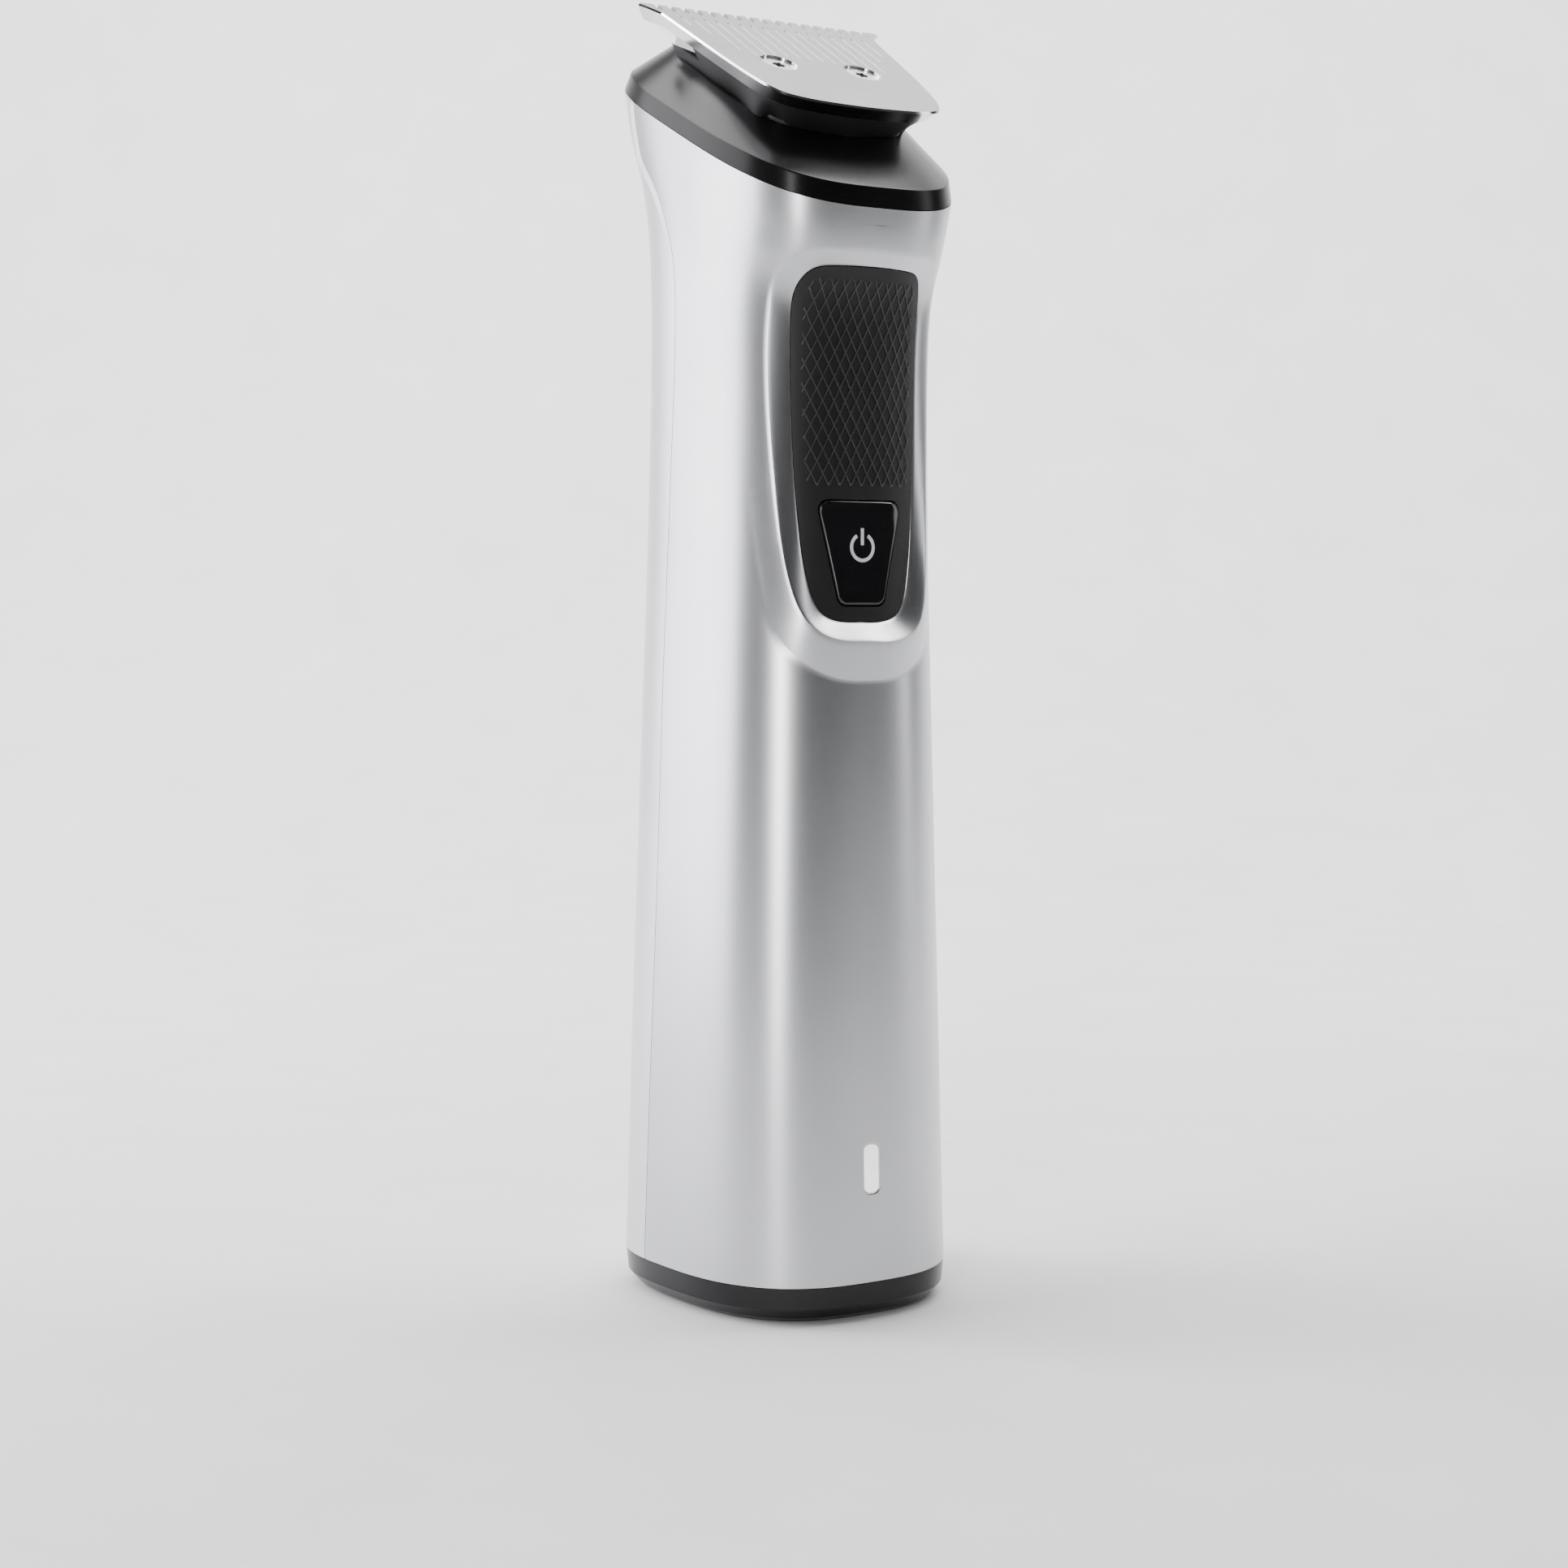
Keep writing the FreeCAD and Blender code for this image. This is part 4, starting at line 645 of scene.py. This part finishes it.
across_nodes = np.arange(-HALF_COLUMNS, HALF_COLUMNS + 1)
grid_i, grid_j = np.meshgrid(across_nodes, np.arange(rows + 1), indexing="ij")
grid_points = sample(front_table, row_levels[grid_j], grid_i / HALF_COLUMNS)
for i in range(-HALF_COLUMNS, HALF_COLUMNS + 1):
    for j in range(rows + 1):
        if not (main_patch.covers(i, j) or light_patch.covers(i, j)):
            index[i, j] = add_point(grid_points[i + HALF_COLUMNS, j])
faces = []
for i in range(-HALF_COLUMNS, HALF_COLUMNS):
    for j in range(rows):
        if main_patch.holds(i, j) or light_patch.holds(i, j):
            continue
        faces.append((index[i, j], index[i + 1, j], index[i + 1, j + 1], index[i, j + 1]))


def fill_patch(patch, inner_rings, blend_steps):
    """Join the opening's rings (x, z, lift arrays) to the patch's border."""
    nodes = patch.border()
    border = [index[n] for n in nodes]
    count = len(border)
    last_x, last_z, last_lift = inner_rings[-1]
    level_in, share_in = front_param(last_x, last_z)
    level_out = row_levels[np.array([n[1] for n in nodes])]
    share_out = np.array([n[0] for n in nodes]) / HALF_COLUMNS
    previous = None
    for x, z, lift in inner_rings:
        ring = front_point(x, z, lift)
        start = len(points)
        points.extend(ring)
        if previous is not None:
            faces.extend(ring_faces(previous, start, count, flip=True))
        previous = start
    for step in range(1, blend_steps):
        f = step / blend_steps
        level = level_in * (1 - f) + level_out * f
        share = share_in * (1 - f) + share_out * f
        fade = last_lift * (1 - f) ** 2 * (1 + 2 * f)
        ring = sample(front_table, level, share) + skin_normal(front_table, level, share) * fade[:, None]
        start = len(points)
        points.extend(ring)
        faces.extend(ring_faces(previous, start, count, flip=True))
        previous = start
    for n in range(count):
        m = (n + 1) % count
        faces.append((border[n], border[m], previous + m, previous + n)[::-1])


angle = main_patch.angles()
lift = shoulder_lift(angle)
panel_r, bevel_r, shoulder_r = panel_at(angle), bevel_at(angle), shoulder_at(angle)
rings = []


def add_ring(radius, height):
    rings.append((CENTRE[0] + radius * np.cos(angle), CENTRE[1] + radius * np.sin(angle), height))


# the opening's wall, then the bevel and the shoulder: share of the way out, drop in mm
WALL_FOOT, WALL_TOP = -2.1, -PANEL_DEPTH - 0.1
BEVEL_STEPS = ((0.015, 0.03), (0.04, 0.0), (0.2, 0.0), (0.4, 0.0), (0.6, 0.0), (0.8, 0.0), (0.93, 0.0),
               (0.965, 0.012), (0.99, 0.03))
SHOULDER_STEPS = ((0.0, 0.035), (0.02, 0.03), (0.06, 0.01), (0.15, 0.0), (0.35, 0.0), (0.55, 0.0),
                  (0.75, 0.0), (0.88, 0.0), (0.96, 0.0), (1.0, 0.0))
STEP_FROM = 0.3
for height in (WALL_FOOT, WALL_TOP):
    add_ring(panel_r, np.full_like(lift, height))
for f, drop in BEVEL_STEPS:
    height = -PANEL_DEPTH * (1 - f) + lift * f - drop
    add_ring(panel_r * (1 - f) + bevel_r * f, height)
sharp = np.clip(lift / STEP_FROM, 0, 1)
for f, drop in SHOULDER_STEPS:
    line = lift * (1 - f)
    smooth = lift * (1 - f) ** 2 * (1 + 2 * f)
    add_ring(bevel_r * (1 - f) + shoulder_r * f, line * sharp + smooth * (1 - sharp) - drop)
fill_patch(main_patch, rings, blend_steps=20)

angle = light_patch.angles()
slot_rings = []
SLOT_STEPS = ((-0.02, -1.0), (0.0, -0.12), (0.05, -0.03), (0.12, 0.0), (0.3, 0.0))
for grow, height in SLOT_STEPS:
    r = rounded_radius(angle, LIGHT_HALF_WIDE + grow, LIGHT_HALF_TALL + grow, LIGHT_CORNER + grow)
    x, z = LIGHT[0] + r * np.cos(angle), LIGHT[1] + r * np.sin(angle)
    slot_rings.append((x, z, np.full_like(angle, height)))
fill_patch(light_patch, slot_rings, blend_steps=6)


LIP_DROPS = (0.03, 0.95)


def edge_lips(line, level, share):
    """Returns along an open edge of the front shell, so that its thickness shows."""
    normal = skin_normal(front_table, level, share)
    base = sample(front_table, level, share)
    previous = line
    for drop in LIP_DROPS:
        current = [add_point(p) for p in base - normal * drop]
        for n in range(len(previous) - 1):
            faces.append((previous[n], previous[n + 1], current[n + 1], current[n]))
        previous = current


for side in (-1, 1):
    line = [index[side * HALF_COLUMNS, j] for j in range(rows + 1)]
    edge_lips(line, row_levels, np.full(rows + 1, float(side)))
for j in (0, rows):
    line = [index[i, j] for i in range(-HALF_COLUMNS, HALF_COLUMNS + 1)]
    edge_lips(line, np.full(len(line), row_levels[j]), across_nodes / HALF_COLUMNS)
new_object("front_shell_skin", points, faces, steel, "handle", ("front_shell",), sharp=38)

# ------------------------------------------------------------------ rear shell
points, index, faces = [], {}, []
REAR_COLUMNS = 60
across = np.linspace(-1, 1, 2 * REAR_COLUMNS + 1)
rear_share = 1 - np.abs(across)


def rear_row(level, inset=0.0):
    """Points across the rear skin at a level, moved inwards by inset."""
    row = sample(rear_table, level, rear_share) - skin_normal(rear_table, level, rear_share) * inset
    row[:, 0] *= np.where(across < 0, -1, 1)
    return row


last = len(across) - 1
for j, level in enumerate(row_levels):
    for i, p in enumerate(rear_row(level)):
        index[i, j] = add_point(p)
for j in range(rows):
    for i in range(last):
        faces.append((index[i, j], index[i, j + 1], index[i + 1, j + 1], index[i + 1, j]))
# rims along the open edges, so that the shell's thickness shows
RIM_INSETS = (0.0, 0.05, 0.95)
rim = {(i, j, RIM_INSETS[0]): n for (i, j), n in index.items()}
for inset in RIM_INSETS[1:]:
    for j, level in enumerate(row_levels):
        row = rear_row(level, inset)
        ends = range(last + 1) if j in (0, rows) else (0, last)
        for i in ends:
            rim[i, j, inset] = add_point(row[i])


def rim_faces(here, there, forward):
    """Faces between two neighbouring edge nodes, from the skin to the innermost rim."""
    for a, b in zip(RIM_INSETS, RIM_INSETS[1:]):
        quad = (rim[(*here, a)], rim[(*there, a)], rim[(*there, b)], rim[(*here, b)])
        faces.append(quad if forward else quad[::-1])


for i in (0, last):
    for j in range(rows):
        rim_faces((i, j), (i, j + 1), forward=i > 0)
for j in (0, rows):
    for i in range(last):
        rim_faces((i, j), (i + 1, j), forward=j == 0)
new_object("rear_shell_skin", points, faces, silver_grip, "handle", ("rear_shell",),
           sharp=38)


# ------------------------------------------------------------------ collar
COLLAR_STEPS = 256


def section_ring(level, lean, front, back, half, powers, narrow):
    """Whole section of the collar: leaning plane, front and back Y, half width, roundness."""
    turn = np.linspace(0, 2 * math.pi, COLLAR_STEPS, endpoint=False) + math.pi / COLLAR_STEPS
    c, s = np.cos(turn), np.sin(turn)
    power = 2 / np.where(s < 0, powers[0], powers[1])
    x_share = np.sign(c) * np.abs(c) ** power
    y_share = np.sign(s) * np.abs(s) ** power
    y = (front + back) / 2 + (back - front) / 2 * y_share
    x = half * x_share * (1 + narrow * y_share)
    return np.stack([x, y, level + y * math.tan(math.radians(lean))], 1)


def mix_rings(a, b, f):
    return a * (1 - f) + b * f


HEAD_LEAN = math.radians(30.6)
HEAD_X = np.array([1.0, 0, 0])
HEAD_Y = np.array([0, math.cos(HEAD_LEAN), math.sin(HEAD_LEAN)])
HEAD_Z = np.array([0, -math.sin(HEAD_LEAN), math.cos(HEAD_LEAN)])
HEAD_SPOT = np.array([0, -5.32, 150.43])


def head_points(local):
    """Points of the head's own frame, in millimetres of the shared frame."""
    local = np.asarray(local, float)
    return HEAD_SPOT + local[..., :1] * HEAD_X + local[..., 1:2] * HEAD_Y + local[..., 2:3] * HEAD_Z


WIDE, TIGHT = ((3.17, 3.5), 0.11), ((3.2, 3.4), 0.06)
low_ring = section_ring(141.8, 27.25, -20.42, 18.92, 16.52, *WIDE)
ridge_ring = section_ring(144.0, 27.25, -20.15, 17.9, 16.15, *WIDE)
top_ring = section_ring(148.1, 30.6, -12.7, 13.4, 11.9, *TIGHT)
under_ring = section_ring(141.8, 27.25, -19.2, 17.7, 15.3, *WIDE)
TOP_MIDDLE_Y, MOUTH_MIDDLE_Y = 0.25, 0.85
MOUTH_HALF_WIDE, MOUTH_HALF_DEEP, MOUTH_CORNER = 9.7, 11.15, 3.4
mouth_angle = np.arctan2(top_ring[:, 1] - TOP_MIDDLE_Y, top_ring[:, 0])
mouth_r = rounded_radius(mouth_angle, MOUTH_HALF_WIDE, MOUTH_HALF_DEEP, MOUTH_CORNER)
mouth_xy = np.stack([mouth_r * np.cos(mouth_angle), mouth_r * np.sin(mouth_angle) + MOUTH_MIDDLE_Y], 1)


def mouth_ring(depth, grow=0.0):
    """Outline of the collar's mouth at a depth in the head's frame, widened by about grow."""
    ring = np.c_[mouth_xy * (1 + grow / 10.0), np.full(len(mouth_xy), depth)]
    return head_points(ring)


LIP = -4.85
MOUTH_FLOOR, FLOOR_SHARE = LIP - 5.4, 0.32
rings = [under_ring, mix_rings(low_ring, under_ring, 0.08), low_ring]
rings += [mix_rings(low_ring, ridge_ring, f) for f in (0.03, 0.08, 0.3, 0.6, 0.85, 0.93)]
middle = [mix_rings(low_ring, ridge_ring, 0.97), mix_rings(ridge_ring, top_ring, 0.012)]
for f in (0.25, 0.5, 0.75):
    corner = (mix_rings(middle[0], ridge_ring, 0.86) * (1 - f) ** 2
              + 2 * f * (1 - f) * ridge_ring + mix_rings(middle[1], ridge_ring, 0.86) * f ** 2)
    rings.append(mix_rings(corner, (middle[0] + middle[1]) / 2, 0.25))
rings += [middle[1], mix_rings(ridge_ring, top_ring, 0.05)]
rings += [mix_rings(ridge_ring, top_ring, f) for f in (0.2, 0.4, 0.6, 0.8, 0.94, 0.985)]
rings += [mix_rings(top_ring, mouth_ring(LIP), 0.02), mix_rings(top_ring, mouth_ring(LIP), 0.5),
          mouth_ring(LIP, 0.08), mouth_ring(LIP - 0.06), mouth_ring(LIP - 1.0), mouth_ring(MOUTH_FLOOR)]
points, faces = stack_rings(rings)
floor_start = len(points)
points.extend(head_points(np.c_[mouth_xy * FLOOR_SHARE, np.full(COLLAR_STEPS, MOUTH_FLOOR)]))
faces += ring_faces(floor_start - COLLAR_STEPS, floor_start, COLLAR_STEPS)
new_object("collar_shell", points, faces, gloss_black, "handle", ("collar",), sharp=45)

# ------------------------------------------------------------------ grip panel with its ribs
BUTTON = (0.0, 91.5)


WINDOW_STEPS, CORNER_STEPS = 900, 24
WINDOW_HALF_TALL, WINDOW_HALF_FOOT, WINDOW_HALF_HEAD, WINDOW_CORNER = 6.3, 3.3, 6.3, 1.3


def window_outline(grow):
    """Rounded trapezium of the button window, wider at its top."""
    low, high = BUTTON[1] - WINDOW_HALF_TALL - grow, BUTTON[1] + WINDOW_HALF_TALL + grow
    foot, head = WINDOW_HALF_FOOT + grow, WINDOW_HALF_HEAD + grow
    corners = np.array([(-foot, low), (foot, low), (head, high), (-head, high)])
    radius = WINDOW_CORNER + max(grow, 0)
    outline = []
    for n in range(4):
        here, before, after = corners[n], corners[n - 1], corners[(n + 1) % 4]
        a = (before - here) / np.linalg.norm(before - here)
        b = (after - here) / np.linalg.norm(after - here)
        half = math.acos(float(np.clip(a @ b, -1, 1))) / 2
        middle = here + (a + b) / np.linalg.norm(a + b) * radius / math.sin(half)
        start = here + a * radius / math.tan(half) - middle
        end = here + b * radius / math.tan(half) - middle
        from_angle, to_angle = math.atan2(start[1], start[0]), math.atan2(end[1], end[0])
        if to_angle < from_angle:
            to_angle += 2 * math.pi
        for t in np.linspace(from_angle, to_angle, CORNER_STEPS):
            outline.append(middle + radius * np.array([math.cos(t), math.sin(t)]))
    ring = np.array(outline + outline[:1])
    run = np.r_[0, np.cumsum(np.linalg.norm(np.diff(ring, axis=0), axis=1))]
    at = np.linspace(0, run[-1], WINDOW_STEPS, endpoint=False)
    return np.stack([np.interp(at, run, ring[:, 0]), np.interp(at, run, ring[:, 1])], 1)


PANEL_STEPS = 360
angle = np.linspace(-math.pi, math.pi, PANEL_STEPS, endpoint=False)
panel_radius = polar_outline(closed_curve(PANEL), BUTTON)(angle)


def about_button(radius, lift):
    """Ring round the button's centre at the radius of each angle, raised by lift."""
    x, z = BUTTON[0] + radius * np.cos(angle), BUTTON[1] + radius * np.sin(angle)
    return front_point(x, z, np.full_like(angle, lift))


window_radius = polar_outline(window_outline(0.0), BUTTON)(angle)
INWARD = np.array([0, 1.0, 0])
WINDOW_EDGE, WINDOW_WALL, PANEL_GAP = 0.05, 1.25, 0.06
window_edge = about_button(window_radius, -PANEL_DEPTH - WINDOW_EDGE)
rings = [window_edge + INWARD * WINDOW_WALL, window_edge,
         about_button(window_radius + WINDOW_EDGE, -PANEL_DEPTH)]
for f in np.linspace(0.01, 1.0, 30):
    rings.append(about_button(window_radius * (1 - f) + (panel_radius - PANEL_GAP) * f, -PANEL_DEPTH))
points, faces = stack_rings(rings)
new_object("grip_panel_face", points, faces, soft_black, "handle", ("grip_panel",), sharp=40)

RIB_WIDE, RIB_TALL = 0.17, 0.14
DIAMOND_WIDE, DIAMOND_TALL = 1.52, 2.82
RIB_STEP, RIB_SINK, FEWEST_SPOTS = 0.235, 0.03, 3
RIB_PROFILE = ((-0.5, -RIB_SINK), (-0.3, RIB_TALL), (0.3, RIB_TALL), (0.5, -RIB_SINK))
FIELD_LOW, FIELD_HIGH, FIELD_REACH = 99.4, 122.9, 40
FIELD_Z = [99.4, 101.0, 104.0, 110.0, 116.0, 121.0, 122.9]
FIELD_HALF = [7.3, 7.6, 7.75, 7.95, 8.1, 8.0, 7.4]

points, faces = [], []
slope = DIAMOND_TALL / DIAMOND_WIDE
count = int(FIELD_REACH / DIAMOND_WIDE)
for lean in (1, -1):
    for k in range(-count, count + 1):
        spots = []
        for z in np.arange(FIELD_LOW, FIELD_HIGH + 0.01, RIB_STEP):
            x = k * DIAMOND_WIDE + lean * (z - FIELD_LOW) / slope
            if abs(x) <= np.interp(z, FIELD_Z, FIELD_HALF):
                spots.append((x, z))
        if len(spots) < FEWEST_SPOTS:
            continue
        spots = np.array(spots)
        side = np.array([slope, -lean]) / math.hypot(slope, 1)
        rows_here = []
        for offset, high in RIB_PROFILE:
            at = spots + side * offset * RIB_WIDE
            heights = np.full(len(at), high - PANEL_DEPTH)
            heights[[0, -1]] = -PANEL_DEPTH - RIB_SINK
            rows_here.append(front_point(at[:, 0], at[:, 1], heights))
        start = len(points)
        for row in rows_here:
            points.extend(row)
        n = len(spots)
        for r in range(3):
            faces += ring_faces(start + r * n, start + (r + 1) * n, n, closed=False, flip=lean > 0)
new_object("grip_ribs", points, faces, rib_black, "handle", (), sharp=50)

# ------------------------------------------------------------------ power button
FACE = -0.78
CAP_GAP, CAP_ROUND, CAP_DROP, CAP_WALL = 0.13, 0.38, 0.35, 1.15
cap_radius = polar_outline(window_outline(-CAP_GAP), BUTTON)(angle)
cap_edge = about_button(cap_radius, FACE - CAP_DROP)
rings = [cap_edge + INWARD * CAP_WALL, cap_edge]
for f in (0.15, 0.35, 0.6, 0.85, 1.0):
    t = f * math.pi / 2
    ring_radius = cap_radius - CAP_ROUND * (1 - math.cos(t))
    rings.append(about_button(ring_radius, FACE - CAP_DROP * (1 - math.sin(t))))
for f in (0.04, 0.2, 0.4, 0.6, 0.8, 0.95):
    rings.append(about_button((cap_radius - CAP_ROUND) * (1 - f), FACE))
points, faces = stack_rings(rings, cap_last=True)
new_object("power_button_cap", points, faces, button_black, "button", ("power_button",),
           sharp=50)

ICON = (0.0, 92.2)
MARK_FOOT, MARK_FACE = FACE - 0.02, FACE + 0.025
MARK_INNER, MARK_OUTER, GAP_SINE = 1.33, 1.75, 0.75 / 1.54
BAR_HALF, BAR_FROM, BAR_TO = 0.21, 0.25, 2.25


def strip_mesh(loops):
    """Raised flat mark from pairs of outlines: inner and outer edges of a band."""
    points, faces = [], []
    for inner, outer, closed in loops:
        inner, outer = np.array(inner), np.array(outer)
        n = len(inner)
        start = len(points)
        for line, depth in ((inner, MARK_FOOT), (inner, MARK_FACE), (outer, MARK_FACE), (outer, MARK_FOOT)):
            points.extend(front_point(line[:, 0], line[:, 1], np.full(n, depth)))
        for r in range(3):
            faces += ring_faces(start + r * n, start + (r + 1) * n, n, closed)
    return points, faces


gap_angle = math.asin(GAP_SINE)
sweep = np.linspace(math.pi / 2 + gap_angle, math.pi / 2 + 2 * math.pi - gap_angle, 60)
inner = [(ICON[0] + MARK_INNER * math.cos(t), ICON[1] + MARK_INNER * math.sin(t)) for t in sweep]
outer = [(ICON[0] + MARK_OUTER * math.cos(t), ICON[1] + MARK_OUTER * math.sin(t)) for t in sweep]
bar_z = np.linspace(ICON[1] + BAR_FROM, ICON[1] + BAR_TO, 8)
bar = ([(BAR_HALF, z) for z in bar_z], [(-BAR_HALF, z) for z in bar_z], False)
points, faces = strip_mesh([(outer, inner, False), bar])
new_object("power_mark", points, faces, icon_silver, "button", ("power_icon",), sharp=50)

# ------------------------------------------------------------------ floor, light and camera
def stage_mesh(name, points, faces, material):
    """A mesh, in metres, that belongs to the studio and not to the object."""
    mesh = bpy.data.meshes.new(name)
    mesh.from_pydata(points, [], faces)
    mesh.shade_smooth()
    item = bpy.data.objects.new(name, mesh)
    bpy.context.scene.collection.objects.link(item)
    mesh.materials.append(material)


backdrop_paper, tree, shader = principled("backdrop_paper")
paper = noise(tree, 40, 3.0)
tree.links.new(ramp(tree, paper.outputs["Fac"], (0.66, 0.66, 0.665), (0.70, 0.70, 0.705)),
               shader.inputs["Base Color"])
shader.inputs["Roughness"].default_value = 0.85
# floor and wall in one sheet: it runs along look, the camera's own way, and bends up behind the object
FLOOR_FROM, FLOOR_TO, BEND, WALL_Y, WALL_HIGH, HALF_SHEET = -0.4, 0.35, 0.35, 0.70, 1.6, 1.6
FLOOR_SINK = 0.00005
profile = [(FLOOR_FROM, 0.0), (FLOOR_TO, 0.0)]
for t in np.linspace(0.08, math.pi / 2, 14):
    profile.append((FLOOR_TO + BEND * math.sin(t), BEND - BEND * math.cos(t)))
profile.append((WALL_Y, WALL_HIGH))
look = Vector((0.514, 0.858, 0.0))
side = Vector((0.858, -0.514, 0.0))
points, faces = [], []
for reach, high in profile:
    for wide in (-HALF_SHEET, HALF_SHEET):
        points.append(tuple(look * reach + side * wide + Vector((0, 0, high - FLOOR_SINK))))
for n in range(len(profile) - 1):
    faces.append((2 * n, 2 * n + 1, 2 * n + 3, 2 * n + 2))
stage_mesh("studio_sweep", points, faces, backdrop_paper)


def area_light(name, azimuth, elevation, distance, wide, tall, power, aim=(0, 0, 0.085), colour=(1, 1, 1)):
    """A soft box: azimuth and elevation say where it stands, seen from the object."""
    a, e = math.radians(azimuth), math.radians(elevation)
    direction = Vector((math.sin(a) * math.cos(e), -math.cos(a) * math.cos(e), math.sin(e)))
    light = bpy.data.lights.new(name, "AREA")
    light.shape = "RECTANGLE"
    light.size, light.size_y = wide, tall
    light.energy = power
    light.color = colour
    item = bpy.data.objects.new(name, light)
    item.location = Vector(aim) + direction * distance
    item.rotation_euler = direction.to_track_quat("Z", "Y").to_euler()
    bpy.context.scene.collection.objects.link(item)


area_light("left_box", -122, 14, 0.62, 0.55, 0.9, 11.5, colour=(0.97, 0.97, 1.0))
area_light("strip_box", -46, 8, 0.95, 0.13, 0.7, 6.0)
area_light("right_box", 60, 14, 1.0, 0.2, 0.6, 1.2)
area_light("top_box", -31, 68, 0.75, 0.4, 0.4, 0.2)
area_light("plate_box", 124, 52, 0.9, 0.45, 0.45, 1.0)
area_light("backdrop_box", -31, 52, 0.75, 1.6, 0.4, 22.0, aim=(0.34, 0.56, 0.12))

world = bpy.data.worlds.new("studio")
bpy.context.scene.world = world
world.use_nodes = True
world.node_tree.nodes["Background"].inputs["Color"].default_value = (0.9, 0.92, 0.96, 1)
world.node_tree.nodes["Background"].inputs["Strength"].default_value = 0.045

camera_data = bpy.data.cameras.new("camera")
camera_data.sensor_width = 36.0
camera_data.lens = 59.25
camera_data.clip_start = 0.01
camera = bpy.data.objects.new("camera", camera_data)
camera.location = (-0.165807, -0.273950, 0.085562)
target = Vector((-0.000883, 0.000530, 0.06317))
camera.rotation_euler = (target - camera.location).to_track_quat("-Z", "Y").to_euler()
bpy.context.scene.collection.objects.link(camera)
bpy.context.scene.camera = camera
